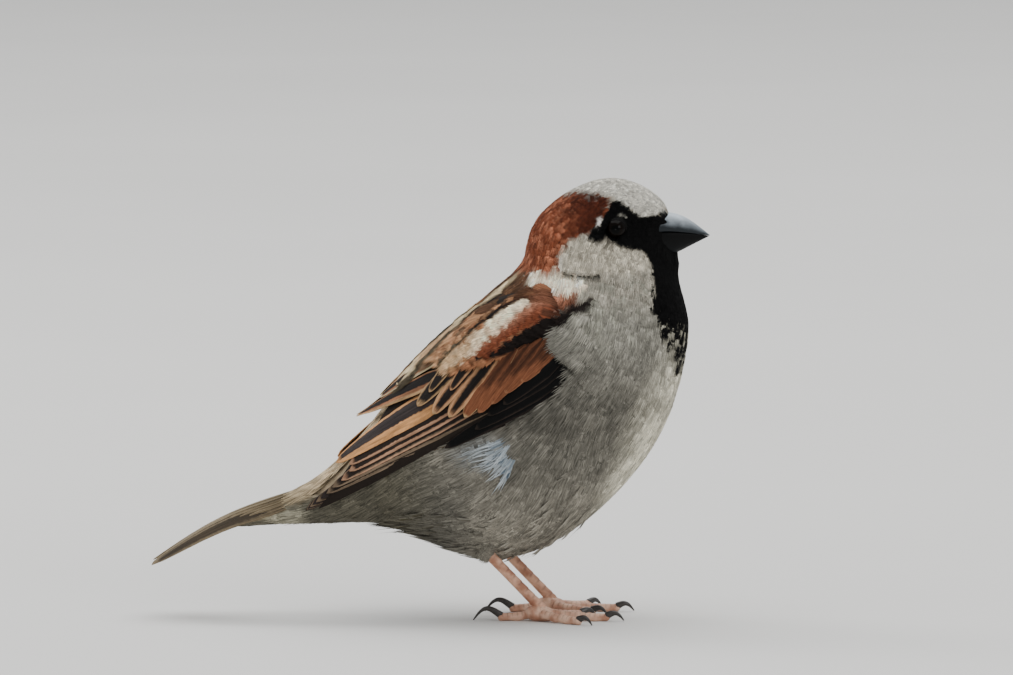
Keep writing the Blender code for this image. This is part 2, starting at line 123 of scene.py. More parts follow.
# The folded wing lies on the body: along from wrist to tip, across from its lower edge up.
wing = {
    # lower edge as (x, z); upper edge as the body's place and turn in degrees
    "lower": ((32.5, 56.0), (23.5, 50.3), (12.4, 43.8), (1.0, 37.2), (-10.3, 31.2), (-20.0, 26.8),
              (-30.0, 23.4)),
    "upper": ((9.0, 56), (7.8, 36), (6.4, 20), (5.0, 9), (3.6, 5), (2.2, 8), (0.6, 40)),
    "proud": 1.7,  # how far its face stands off the body, with lift more at the inner tips
    "lift": 2.6,
    "frontRound": 0.09,
}


def spotsOnSide(points):
    # place and turn of the left side of the body nearest to each x and z, seen from the side
    place, turn = np.meshgrid(np.linspace(0, lastPlace, 500), np.linspace(0, math.pi, 240), indexing="ij")
    surface = bodySurface(place, turn)
    found = []
    for x, z in points:
        near = np.argmin((surface[..., 0] - x) ** 2 + (surface[..., 2] - z) ** 2)
        found.append((place.flat[near], turn.flat[near]))
    return found


wingLower = splineThrough(spotsOnSide(wing["lower"]))
wingUpper = splineThrough([(place, math.radians(turn)) for place, turn in wing["upper"]])


def wingSurface(along, across, grow=0.0):
    # the wing's outer face, lifted more towards the tips of the inner feathers
    at = np.clip(along, -0.05, 1.05) * (len(wing["lower"]) - 1)
    lower, upper = wingLower(at), wingUpper(at)
    spots = lower + (upper - lower) * np.asarray(across)[..., None]
    lift = wing["lift"] * np.clip(across, 0, 1.1) ** 2 * np.clip((along - 0.35) / 0.4, 0, 1) ** 2
    return bodySurface(spots[..., 0], spots[..., 1], wing["proud"] + lift + grow)


fiveDegrees = 0.0875  # outlines are given as seen from the side and 5 degrees above: its tangent
alongGrid, acrossGrid = np.meshgrid(np.linspace(0, 1, 300), np.linspace(0, 1, 150), indexing="ij")
wingTree = KDTree(alongGrid.size)
for index, point in enumerate(wingSurface(alongGrid, acrossGrid).reshape(-1, 3)):
    wingTree.insert((point[0], 0, point[2] - fiveDegrees * point[1]), index)
wingTree.balance()


def wingSpots(points):
    # along and across of points given as x and z, as seen from 5 degrees above
    near = [wingTree.find((x, 0, z))[1] for x, z in np.reshape(points, (-1, 2))]
    shape = np.shape(points)[:-1]
    return alongGrid.flat[near].reshape(shape), acrossGrid.flat[near].reshape(shape)


def seen(points):
    # x, distance from the middle, and the height at which a point looks from there: z less slope times |y|
    x, y, z = points[..., 0], np.abs(points[..., 1]), points[..., 2]
    return x, y, z - fiveDegrees * y


def insideOutline(x, z, outline, soft):
    # 1 inside a closed outline of (x, z) corners, 0 outside, with a soft edge this wide
    corners = np.asarray(outline, float)
    inside = np.zeros(np.shape(x), bool)
    nearest = np.full(np.shape(x), np.inf)
    for (ax, az), (bx, bz) in zip(corners, np.roll(corners, -1, axis=0)):
        t = np.clip(((x - ax) * (bx - ax) + (z - az) * (bz - az)) / ((bx - ax) ** 2 + (bz - az) ** 2), 0, 1)
        nearest = np.minimum(nearest, np.hypot(x - ax - t * (bx - ax), z - az - t * (bz - az)))
        crosses = (az > z) != (bz > z)
        inside ^= crosses & (x < ax + (z - az) * (bx - ax) / (bz - az + 1e-12))
    return smooth(np.where(inside, nearest, -nearest), -soft / 2, soft / 2)


def tint(red, green, blue):
    # a colour as it is seen, 0 to 255, as linear light
    return (np.array([red, green, blue]) / 255) ** 2.2


plumage = {
    "breast": tint(94, 92, 85),
    "belly": tint(86, 83, 76),
    "lowBelly": tint(126, 121, 110),
    "frontRimHighlight": tint(226, 220, 198),
    "vent": tint(64, 60, 48),
    "flankBlue": tint(170, 182, 190),
    "crown": tint(157, 156, 150),
    "crownRim": tint(212, 208, 196),
    "chestnut": tint(70, 34, 25),
    "chestnutRim": tint(122, 68, 48),
    "black": tint(6, 5, 6),
    "cheek": tint(136, 130, 117),
    "cheekRim": tint(194, 186, 168),
    "neckSide": tint(246, 228, 202),
    "mantle": tint(104, 70, 46),
    "rufousStreak": tint(146, 100, 72),
    "mantleBlack": tint(30, 25, 23),
    "cream": tint(222, 202, 162),
    "rump": tint(190, 170, 140),
    "lesser": tint(80, 50, 38),
    "whiteBar": tint(255, 238, 206),
    "greater": tint(118, 74, 52),
    "rufous": tint(180, 134, 98),
    "buff": tint(184, 148, 108),
    "ink": tint(30, 25, 23),
    "dusk": tint(58, 51, 50),
    "primary": tint(44, 37, 33),
    "primaryEdge": tint(120, 103, 85),
    "tail": tint(58, 49, 37),
    "tailInner": tint(134, 121, 97),
    "tailEdge": tint(122, 108, 86),
    "pinkBuff": tint(178, 136, 108),
    "umber": tint(76, 48, 34),
    "orange": tint(206, 150, 100),
    "wingBase": tint(44, 38, 34),
    "saddle": tint(66, 44, 31),
    "saddleFront": tint(132, 86, 66),
    "shoulderLit": tint(160, 108, 86),
    "shoulderTipLit": tint(176, 126, 102),
    "neckFleck": tint(112, 112, 100),
    "breastRim": tint(226, 222, 206),
    "undertail": tint(184, 178, 154),
    "undertailRim": tint(198, 192, 168),
    "fan": tint(92, 106, 118),
    "fanPale": tint(186, 196, 202),
    "fanRim": tint(214, 220, 222),
    "napeTipHighlight": tint(178, 112, 84),
    "bibTip": tint(170, 166, 150),
    "creaseShadow": tint(20, 18, 14),
    "earLine": tint(222, 216, 202),
    "behindEye": tint(240, 232, 222),
    "overEye": tint(190, 186, 174),
}

# outlines of (x, z) corners
bodyMarks = {
    "flank": ((7.6, 38.6), (12, 41.4), (18.6, 41.2), (18.4, 37), (14, 35), (9, 36)),
    "neckFlecks": ((24, 76), (52, 79), (50, 66), (40, 62), (33, 68)),
    "undertail": ((-37, 24.4), (-27.5, 25), (-27, 22.4), (-33, 21.8)),
    "besideWing": ((38, 77), (39, 66), (35, 56), (27, 56), (25, 66), (27, 73)),
    "fluff": ((0, 20), (10, 19), (26, 22), (30, 10), (4, 8)),
}
headMarks = {
    "crown": ((27.0, 98.5), (32.1, 97.3), (38.2, 96.3), (42.3, 96.3), (44.6, 93.6), (47.8, 91.5),
              (51.0, 91.2), (52.6, 92.4), (60.0, 92.4), (60.0, 104.0), (27.0, 104.0)),
    "chestnut": ((18.0, 80.0), (29.3, 79.2), (29.5, 83.0), (32.4, 87.2), (38.4, 88.6), (39.4, 91.0),
                 (41.6, 95.4), (38.6, 97.2), (34.5, 97.6), (30.5, 96.9), (26.0, 99.0), (14.0, 96.0)),
    "mask": ((35.6, 86.8), (40.0, 85.7), (44.6, 84.7), (48.7, 83.8), (50.4, 80.5), (50.6, 76.0),
             (64.0, 76.0), (64.0, 92.6), (53.4, 92.6), (51.4, 91.8), (48.6, 91.5), (46.4, 92.8),
             (43.8, 95.2), (41.8, 95.2), (40.4, 92.5), (37.4, 89.5)),
    "bib": ((50.0, 84.0), (50.4, 80.0), (50.6, 76.0), (50.4, 71.0), (51.8, 66.5), (54.0, 62.0),
            (55.4, 56.8), (66.0, 56.8), (66.0, 84.0)),
    "cheek": ((29.3, 79.4), (29.5, 83.0), (32.4, 87.2), (35.6, 86.8), (40.0, 85.7), (44.6, 84.7),
              (48.7, 83.8), (50.4, 80.5), (47.0, 78.6), (38.0, 78.6), (31.5, 79.2)),
    # a painted shadow in the fold of the plumage below the cheek
    "creaseShadow": ((29.8, 80.4), (30.6, 79.6), (33.0, 78.9), (38.6, 78.8), (38.8, 77.9), (33.0, 77.9),
               (30.2, 78.8)),
    "neckSide": ((23.0, 80.6), (29.3, 80.6), (33.0, 79.2), (36.4, 77.4), (33.4, 75.2), (27.5, 74.6),
                 (23.6, 77.6)),
    "earLine": ((29.2, 79.8), (30.2, 80.0), (30.4, 83.2), (29.4, 83.4)),
    "behindEye": ((38.1, 89.8), (38.6, 89.6), (39.4, 91.1), (39.0, 91.7), (38.3, 91.4)),
    "overEye": ((43.4, 92.2), (45.0, 91.4), (45.1, 91.6), (43.6, 92.4)),
}
wingMarks = {
    "whiteBar": ((28.0, 75.6), (22.4, 74.4), (16.7, 70.6), (11.1, 65.7), (5.4, 61.2), (0.0, 57.6),
                 (2.6, 55.2), (7.4, 58.6), (11.5, 61.8), (16.7, 66.2), (22.4, 71.0), (27.5, 74.8)),
    "lesser": ((33.4, 75.0), (28.5, 75.4), (22.4, 71.4), (16.7, 66.6), (11.5, 62.0), (9.5, 59.8),
               (13.5, 59.8), (16.7, 62.6), (22.4, 66.2), (28.1, 69.4), (33.8, 72.4)),
    "blackRow": ((37.0, 74.0), (33.0, 72.2), (28.1, 69.0), (22.4, 65.8), (16.7, 62.6), (10.6, 59.6),
                 (9.6, 58.0), (16.7, 60.4), (22.4, 62.8), (28.4, 66.2), (33.7, 69.4), (37.0, 72.0)),
}
backLine = [(row[0], row[1]) for row in bodySections[:10]]  # x, z
# the same over the folded wings
wingBackLine = ((-22.0, 37.0), (-12.8, 50.0), (-9.4, 52.8), (-4.8, 56.7), (-2.0, 60.1), (1.4, 63.8),
                (5.4, 68.1), (8.8, 71.5), (12.2, 74.4), (16.7, 77.2), (21.0, 79.4))


def blend(colour, other, share):
    # the colour moved towards another by a share from 0 to 1
    return colour + (np.asarray(other) - colour) * np.asarray(share)[..., None]


cloudWaves = np.random.default_rng(19).normal(size=(9, 3))


def clouds(points, size):
    # Soft patches of about this size between -1 and 1: plane waves in random directions, each bent by the
    # last one.
    total, bend = 0, 0
    for index, wave in enumerate(cloudWaves):
        bend = np.sin(points @ (wave * 2.6 / size) + 1.3 * bend + index)
        total = total + bend
    return np.clip(total / 3.6, -1, 1)


def scattered(mark, chance, spread):
    # a soft mark whose edge is broken up feather by feather
    return smooth(mark + (chance - 0.5) * spread * 4 * mark * (1 - mark), 0.35, 0.65)


def backBands(points, chance, line):
    # Long stripes beside the middle of the back, by the drop below the back's line: cream, partly a painted
    # highlight along the back's top edge, then black, rufous and black again.
    x, y, z = seen(points)
    drop = np.interp(x, *zip(*line)) - z + 0.35 * clouds(points, 5)
    colour = np.broadcast_to(plumage["mantle"], points.shape).copy()
    dark = smooth(clouds(points * np.array([0.25, 1.6, 0.0]), 2.2), 0.1, 0.4)
    colour = blend(colour, plumage["mantleBlack"], dark)
    # painted highlight: the cream along the back's top edge is partly the back's buff stripe and partly light
    # caught there
    braceAndHighlight = smooth(y, 2.4, 3.2)  # the pale stripe beside the middle
    colour = blend(colour, plumage["cream"], braceAndHighlight * (0.6 + 0.4 * chance))
    warmer = smooth(x, -4, -1.5) * smooth(-x, -6.5, -3.5) * (0.5 + 0.4 * chance)
    colour = blend(colour, plumage["rufous"], braceAndHighlight * warmer)
    creamEnd = 0.9 + 0.8 * smooth(x, 3, 9)
    colour = blend(colour, plumage["mantleBlack"], smooth(drop, creamEnd, creamEnd + 0.4))
    rufous = blend(plumage["rufousStreak"] + 0 * colour, plumage["rufous"], smooth(chance, 0.0, 0.6))
    rufous = blend(rufous, plumage["mantleBlack"], 0.7 * (np.abs(chance - 0.2) < 0.1))
    colour = blend(colour, rufous, smooth(drop, 2.3, 2.8))
    colour = blend(colour, plumage["mantleBlack"], smooth(drop, 6.0, 6.4) * (1 - smooth(drop, 6.9, 7.3)))
    # darker and plainer towards the neck
    darker = smooth(x, 8, 16) * (chance > 0.42) * smooth(drop, 1.5, 2.2) * 0.8
    front = smooth(x, 15, 21) * smooth(drop + 0.35 * (x - 17), 1.5, 2.2)
    brown = blend(plumage["saddle"] + 0 * colour, plumage["saddleFront"], smooth(x, 21, 26))
    return blend(blend(colour, plumage["mantleBlack"], darker), brown, 0.75 * front), drop


def undersideColours(points, chance):
    # breast, belly, flanks and undertail, each laid over the one before
    x, y, z = seen(points)
    colour = np.broadcast_to(plumage["breast"], points.shape).copy()
    # painted shade: the belly darker lower down, partly its own grey and partly shade under the body
    colour = blend(colour, plumage["belly"], smooth(-z, -66, -52))
    colour = blend(colour, plumage["lowBelly"], smooth(-z, -38, -22) * smooth(x, 4, 16))
    # front edge, hind belly and vent, the vent partly its own darker colour and partly painted shade low
    # under the body
    # painted highlight: light along the breast's front edge, painted as a pale cream rim
    front = smooth(x - 0.42 * (z - 20), 32, 42) * smooth(z, 16, 30)
    colour = blend(colour, plumage["frontRimHighlight"], 0.85 * front * (1 - smooth(z, 58, 72)))
    hind = smooth(-x, -26, -12) * smooth(z, 24, 34) * (1 - smooth(z, 46, 54))
    colour = blend(colour, plumage["lowBelly"], 0.35 * hind)
    # the vent: its own darker colour, deepened by painted shade under the body
    colour = blend(colour, plumage["vent"], smooth(-x, -8, 8) * (1 - smooth(z, 38, 46)))
    # tall soft patches, and a few darker feathers
    hanging = points * np.array([1.0, 1.0, 0.45])
    colour = colour * (1 + 0.17 * clouds(hanging, 5.5) + 0.13 * clouds(hanging, 1.8))[..., None]
    colour = colour * (1 - 0.35 * (chance > 0.86) * smooth(z, 30, 50))[..., None]
    # flank, collar and the flecks below the cheek
    flank = insideOutline(x, z, bodyMarks["flank"], 3) * smooth(y, 8, 14)
    colour = blend(colour, plumage["flankBlue"] * 0.4, flank * 0.25)
    colour = blend(colour, plumage["neckSide"], 0.18 * smooth(z, 68, 76))
    flecks = insideOutline(x, z, bodyMarks["neckFlecks"], 4)
    colour = blend(colour, plumage["neckFleck"], flecks * 0.85 * (chance > 0.70))
    # lighter edges, and the undertail's root
    edge = blend(colour, plumage["breastRim"], 0.07 + 0.17 * smooth(z, 46, 68))
    edge = blend(edge, plumage["flankBlue"], flank * 0.35 * chance)
    root = insideOutline(x, z, bodyMarks["undertail"], 1.5) * (0.5 + 0.4 * chance)
    return blend(colour, plumage["undertail"], root), blend(edge, plumage["undertailRim"], root)


def addBack(points, chance, colour, edge):
    # the back's stripes and the rump, and the wing's colours where the body shows in front of it
    x, y, z = seen(points)
    streak, drop = backBands(points, chance, backLine)
    rump = blend(plumage["rump"] + 0 * colour, plumage["tailInner"], 0.8 * smooth(-x, 23, 32))
    streak = blend(streak, rump * (1 + 0.2 * clouds(points, 3))[..., None], smooth(-x, 2, 10))
    reach = np.interp(x, (-32, -12), (3.6, 7.8))
    neck = smooth(x + 0.5 * (z - 78) + 2.5 * (chance - 0.5), 23.5, 25.5)
    upper = (1 - smooth(drop, reach, reach * 1.2)) * (1 - neck)
    colour = blend(colour, streak, upper)
    edge = blend(edge, blend(streak, plumage["cream"], 0.12 - 0.1 * smooth(x, 0, 10)), upper)
    for name, soft in (("blackRow", 1.0), ("lesser", 1.4)):
        mark = insideOutline(x, z, wingMarks[name], soft) * smooth(x, 24, 26) * smooth(y, 6, 9)
        paint = plumage["ink" if name == "blackRow" else "lesser"]
        # painted light: the lesser coverts' upper side lighter, partly their own colour and partly light from
        # above
        upperSideLit = (smooth(z - 0.66 * x, 50.6, 54.6) * (name == "lesser"))[..., None]
        paint = paint + (plumage["shoulderLit"] - paint) * upperSideLit
        colour, edge = blend(colour, paint, mark), blend(edge, paint * 1.3, mark)
    return colour, edge


def addHead(points, chance, colour, edge):
    # the collar, nape, cheek and crown, then mask and bib, and the fine marks round eye and ear, the first a
    # painted shadow in the crease below the cheek
    x, _, z = seen(points)
    head = smooth(z + 0.35 * (x - 20), 79.5, 81)
    shakenX, shakenZ = x + 0.8 * clouds(points + 5, 1.5), z + 0.8 * clouds(points, 1.5)
    for name, soft, spread in (("neckSide", 3.0, 0.6), ("chestnut", 3.0, 0.8), ("cheek", 1.6, 0.6),
                               ("crown", 3.2, 0.9)):
        mark = scattered(insideOutline(shakenX, shakenZ, headMarks[name], soft), chance, spread)
        mark = mark * (1 if name == "neckSide" else head)
        colour = blend(colour, plumage[name], mark)
        edge = blend(edge, plumage.get(name + "Rim", plumage[name] * 1.2), mark)
    # flecks on the crown, and a darker nape with painted highlights on the tips of some feathers along its
    # hind edge
    fleck = insideOutline(x, z, headMarks["crown"], 3.0) * head * (chance > 0.72) * 0.4
    colour = colour * (1 - fleck)[..., None]
    nape = insideOutline(x, z, headMarks["chestnut"], 1.5) * head
    inner = smooth(x, 27, 36)
    colour = blend(colour, plumage["chestnut"] * 0.42, nape * inner * 0.75)
    edge = blend(edge, plumage["chestnut"] * 0.7, nape * inner * 0.8)
    # painted highlight: light caught at the nape's hind edge, painted on some feathers' tips
    edge = blend(edge, plumage["napeTipHighlight"], nape * (1 - inner) * (chance > 0.6) * 0.75)
    mask = scattered(insideOutline(x, z, headMarks["mask"], 1.6), chance, 0.4)
    colour, edge = blend(colour, plumage["black"], mask), blend(edge, plumage["black"] * 1.5, mask)
    bib = scattered(insideOutline(x, z, headMarks["bib"], 3.6), chance, 0.8)
    colour = blend(colour, plumage["black"], bib)
    pale = np.abs(chance - 0.5) < 0.27 * smooth(-z, -71, -58)  # some of the bib's lower feathers
    edge = blend(edge, blend(plumage["black"] * 1.4 + 0 * colour, plumage["bibTip"], 0.75 * pale), bib)
    # the crease mark is a painted shadow in the fold below the cheek
    for name, amount in (("creaseShadow", 1.0), ("earLine", 0.8), ("behindEye", 1.0), ("overEye", 0.5)):
        mark = insideOutline(x, z, headMarks[name], 0.4) * amount
        colour, edge = blend(colour, plumage[name], mark), blend(edge, plumage[name], mark)
    return colour, edge


def bodyColours(points, chance):
    # Colour of the plumage at points, and a second one for the feathers' edges; chance varies each feather.
    colour, edge = undersideColours(points, chance)
    return addHead(points, chance, *addBack(points, chance, colour, edge))


def makeMesh(name, points, triangles, slot, *nodes):
    # points in millimetres and triangles as rows of three, turned into a piece that rides on the bird
    points, triangles = np.asarray(points, float).reshape(-1, 3), np.asarray(triangles, np.int32)
    mesh = bpy.data.meshes.new(name)
    mesh.vertices.add(len(points))
    mesh.vertices.foreach_set("co", (points * mm).astype(np.float32).ravel())
    mesh.loops.add(triangles.size)
    mesh.loops.foreach_set("vertex_index", triangles.ravel())
    mesh.polygons.add(len(triangles))
    mesh.polygons.foreach_set("loop_start", np.arange(0, triangles.size, 3, dtype=np.int32))
    mesh.polygons.foreach_set("use_smooth", np.ones(len(triangles), bool))
    mesh.update(calc_edges=True)
    mesh.validate()
    piece = bpy.data.objects.new(name, mesh)
    bpy.context.scene.collection.objects.link(piece)
    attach(piece, "root")
    if nodes:
        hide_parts(*nodes)
    return piece


def giveColours(piece, **colours):
    # named colours, one for each point
    for name, values in colours.items():
        layer = piece.data.attributes.new(name, "FLOAT_COLOR", "POINT")
        values = np.clip(np.asarray(values, float).reshape(-1, 3), 0, 1)
        solid = np.column_stack([values, np.ones(len(values))])
        layer.data.foreach_set("color", solid.astype(np.float32).ravel())


def giveVectors(piece, **vectors):
    # named triples of numbers, one for each point
    for name, values in vectors.items():
        layer = piece.data.attributes.new(name, "FLOAT_VECTOR", "POINT")
        layer.data.foreach_set("vector", np.asarray(values, np.float32).reshape(-1, 3).ravel())


def giveMap(piece, spots):
    # the unwrap that the baked colours go into, from one spot per point
    mesh = piece.data
    layer = mesh.uv_layers.new(name="OFBake")
    corners = np.empty(len(mesh.loops), np.int32)
    mesh.loops.foreach_get("vertex_index", corners)
    spots = np.clip(np.asarray(spots, float).reshape(-1, 2), 0.001, 0.999)
    layer.data.foreach_set("uv", spots[corners].astype(np.float32).ravel())


def gridTriangles(rows, columns, around=False):
    # two triangles per cell of a grid of points; around joins the last column to the first
    i, j = np.meshgrid(np.arange(rows - 1), np.arange(columns if around else columns - 1), indexing="ij")
    k = (j + 1) % columns
    a, b, c, d = i * columns + j, i * columns + k, (i + 1) * columns + k, (i + 1) * columns + j
    return np.concatenate([np.stack([a, b, c], -1).reshape(-1, 3), np.stack([a, c, d], -1).reshape(-1, 3)])


def repeated(triangles, count, points):
    # the same triangles for each of count copies with this many points
    return (triangles[None] + (np.arange(count) * points)[:, None, None]).reshape(-1, 3)


def closedTube(rings):
    # a grid of rings with a point in the middle of each end
    rows, around = rings.shape[:2]
    points = np.concatenate([rings.reshape(-1, 3), rings[:1].mean(1), rings[-1:].mean(1)])
    ends = np.arange(around)
    nextOnes = (ends + 1) % around
    first, last, lastRing = rows * around, rows * around + 1, (rows - 1) * around
    lids = np.concatenate([np.stack([ends * 0 + first, nextOnes, ends], -1),
                           np.stack([ends * 0 + last, ends + lastRing, nextOnes + lastRing], -1)])
    return points, np.concatenate([gridTriangles(rows, around, True), lids])


def outward(points, triangles):
    # turns every triangle round if the closed shape is inside out
    a, b, c = np.moveaxis(points[triangles], 1, 0)
    volume = np.einsum("ij,ij->", a, np.cross(b, c))
    return triangles if volume > 0 else triangles[:, ::-1]


def toSide(points, triangles, side):
    # a shape of the left side as it is, or mirrored with its triangles turned round
    return (points, triangles) if side > 0 else (mirrored(points, -1), triangles[:, ::-1])


def roundGrid(start, end, rows, around):
    # rows from start to end, each with angles once round
    turns = np.linspace(0, 2 * math.pi, around, endpoint=False)
    return np.meshgrid(np.linspace(start, end, rows), turns, indexing="ij")


def ringPiece(name, rings, slot, node, material, leaf=None):
    # A closed tube of rings as one piece. leaf holds pattern numbers for the rings' points, 0 at both ends.
    points, triangles = closedTube(rings)
    piece = makeMesh(name, points, outward(points, triangles), slot, node)
    if leaf is not None:
        coords = np.zeros((len(points), 3))
        for column, values in enumerate(leaf):
            coords[:-2, column] = np.ravel(values)
        giveVectors(piece, leaf=coords)
    piece.data.materials.append(material)


class Wire:
    # a socket whose arithmetic adds Math nodes
    def __init__(self, finish, socket):
        self.finish, self.socket = finish, socket

    def math(self, operation, *values, swap=False):
        values = (self, *values)
        if swap:
            values = values[::-1]
        return self.finish.node("ShaderNodeMath", {"operation": operation}, dict(enumerate(values)))

    def __add__(self, other):
        return self.math("ADD", other)

    def __sub__(self, other):
        return self.math("SUBTRACT", other)

    def __rsub__(self, other):
        return self.math("SUBTRACT", other, swap=True)

    def __mul__(self, other):
        return self.math("MULTIPLY", other)

    __radd__, __rmul__ = __add__, __mul__


class Finish:
    # a material and its nodes
    def __init__(self, name, **constants):
        self.material = bpy.data.materials.new(name)
        self.material.use_nodes = True
        self.tree = self.material.node_tree
        self.shader = self.tree.nodes["Principled BSDF"]
        for socket, value in constants.items():
            self.shader.inputs[socket.replace("_", " ")].default_value = value

    def node(self, kind, settings=None, inputs=None, output=0):
        made = self.tree.nodes.new(kind)
        for name, value in (settings or {}).items():
            setattr(made, name, value)
        for name, value in (inputs or {}).items():
            self.feed(made.inputs[name], value)
        return Wire(self, made.outputs[output])

    def feed(self, socket, value):
        if isinstance(value, Wire):
            self.tree.links.new(value.socket, socket)
        else:
            socket.default_value = value

    def set(self, **inputs):
        for name, value in inputs.items():
            self.feed(self.shader.inputs[name.replace("_", " ")], value)
        return self.material

    def attribute(self, name, output="Color"):
        return self.node("ShaderNodeAttribute", {"attribute_name": name}, output=output)

    def parts(self, vector):
        # its three numbers
        split = self.node("ShaderNodeSeparateXYZ", inputs={0: vector})
        return split, Wire(self, split.socket.node.outputs[1]), Wire(self, split.socket.node.outputs[2])

    def place(self):
        return self.node("ShaderNodeTexCoord", output="Object")

    def noise(self, scale, detail=2.0, at=None):
        inputs = {"Vector": at or self.place(), "Scale": scale, "Detail": detail}
        return self.node("ShaderNodeTexNoise", inputs=inputs)

    def mix(self, share, first, second):
        return self.node("ShaderNodeMix", {"data_type": "RGBA"}, {0: share, 6: first, 7: second}, output=2)

    def shade(self, colour, amount):
        # the colour times an amount that varies
        return self.node("ShaderNodeVectorMath", {"operation": "SCALE"}, {0: colour, "Scale": amount})

    def step(self, value, start, end, low=0.0, high=1.0):
        # low before start, high after end, and a soft step between
        inputs = {"Value": value, "From Min": start, "From Max": end, "To Min": low, "To Max": high}
        return self.node("ShaderNodeMapRange", {"interpolation_type": "SMOOTHSTEP"}, inputs)

    def bump(self, height, strength, distance):
        inputs = {"Height": height, "Strength": strength, "Distance": distance}
        return self.node("ShaderNodeBump", inputs=inputs)


def colour4(values):
    # a colour as a socket takes it
    return (*[float(v) for v in values], 1.0)


def vaneFinish(name, rough, barbs, barbDepth, streaks, streakDepth):
    # A feather: its web's colour, its rim's and a thin fringe's, with barbs that run out from the shaft and a
    # darker base.
    f = Finish(name, Roughness=rough, Specular_IOR_Level=0.12)
    u, v, seed = f.parts(f.attribute("leaf", "Vector"))
    rim, soft, tip = f.parts(f.attribute("marks", "Vector"))
    side = v.math("ABSOLUTE")
    grain = f.noise(1100.0, 2.0)  # patches per metre
    barb = f.node("ShaderNodeMapping", inputs={"Vector": f.attribute("leaf", "Vector"), "Scale": streaks})
    streak = f.noise(1.0, 3.0, at=barb)
    ragged = (grain - 0.5) * 0.22  # how far the rim's line wavers
    edge = f.step(side + ragged, rim, rim + soft)
    end = f.step(u + ragged * 0.4, tip, tip + soft * 0.4)
    colour = f.mix(edge.math("MAXIMUM", end), f.attribute("web"), f.attribute("rim"))
    if name == "flight_feathers":
        outer = f.step(side + ragged * 0.6, 0.84, 0.98).math("MAXIMUM", f.step(u + ragged * 0.1, 0.945, 0.99))
        colour = f.mix(outer, colour, f.attribute("fringe"))
    lines = ((u * 1.3 - side * 0.55 + seed) * barbs).math("SINE")
    shaft = 1 - f.step(side, 0.02, 0.07)
    tone = 0.97 + lines * barbDepth + (grain - 0.5) * 0.3 + (streak - 0.5) * streakDepth - shaft * 0.12
    tone = tone * f.step(u, 0.1, 0.75, 0.62, 1.04)
    height = lines * 0.5 + shaft * 1.5
    return f.set(Base_Color=f.shade(colour, tone), Normal=f.bump(height, 0.5, 0.00006))


def skinFinish():
    # matt down in the plumage's colour, with a fine grain
    f = Finish("down_and_skin", Roughness=0.9, Specular_IOR_Level=0.15)
    grain = f.noise(1400.0, 3.0)
    colour = f.shade(f.attribute("web"), 0.62 + grain * 0.35)
    return f.set(Base_Color=colour, Normal=f.bump(grain, 0.6, 0.0001))


downFinish = skinFinish()
softVane = vaneFinish("soft_plumage", rough=0.85, barbs=95.0, barbDepth=0.04, streaks=(1.6, 8.0, 60.0),
                      streakDepth=2.4)
firmVane = vaneFinish("flight_feathers", rough=0.62, barbs=150.0, barbDepth=0.05, streaks=(5.0, 9.0, 40.0),
                      streakDepth=2.2)


def lieFrame(surface, p, q, head):
    # Steps of (p, q) that go one millimetre down the lie, and one across it. head is 1 where p rises towards
    # the head, and -1 where it rises towards the tail.
    step = 0.01
    at = surface(p, q)
    alongP, alongQ = (surface(p - step, q) - at) / -step, (surface(p, q + step) - at) / step
    e, f, g = ((a * b).sum(-1) for a, b in ((alongP, alongP), (alongP, alongQ), (alongQ, alongQ)))
    across = 1 / np.sqrt(np.maximum(g - f * f / e, 1e-6))
    return np.stack([-head / np.sqrt(e), 0 * e], -1), np.stack([-f * across / e, across], -1)


def leafTemplate(rows, columns, barbs, fringe):
    # u along and v across a feather that is a grid of points, with barbs as thin triangles round its far end.
    # The outline is v = 2 * sqrt(q * (1 - q)) with q = u ** blunt.
    # A higher blunt is widest nearer the tip, and around is how far round the tip the barbs go, in radians.
    blunt, around = 1.3, 1.45
    u, v = np.meshgrid(np.linspace(0.02, 0.98, rows), np.linspace(-1, 1, columns), indexing="ij")
    q = u ** blunt
    half = 2 * np.sqrt(q * (1 - q))
    triangles = gridTriangles(rows, columns)
    angle = np.linspace(-around, around, barbs)
    width = 0.62 * (angle[1] - angle[0])  # half a barb's root
    rootU, rootV, tipU, tipV = [], [], [], []
    for a in angle:
        for edge in (a - width, a + width):
            q = 0.5 + 0.44 * math.cos(edge)
            rootU.append(q ** (1 / blunt))
            rootV.append(0.9 * math.sin(edge))
        tipU.append((0.5 + 0.5 * math.cos(a)) ** (1 / blunt) + fringe * (0.45 + 0.55 * math.cos(a)))
        tipV.append(math.sin(a) * (1 + fringe * 0.7))
    first = rows * columns
    n = np.arange(barbs)
    barbTriangles = np.stack([first + 2 * n, first + 2 * n + 1, first + 2 * barbs + n], -1)
    allU = np.concatenate([u.ravel(), rootU, tipU])
    allV = np.concatenate([(v * half).ravel(), rootV, tipV])
    bare = np.zeros(len(allU))
    bare[first + 2 * barbs:] = 1
    return {"u": allU, "v": allV, "tips": bare, "triangles": np.concatenate([triangles, barbTriangles])}


def evenSpots(count, start):
    # A spread of points over the unit square with no clumps: steps of the plastic number's inverse and of its
    # square.
    n = np.arange(count) + 1.0
    return (start + n * 0.7548776662466927) % 1, (start * 0.7 + n * 0.5698402909980532) % 1


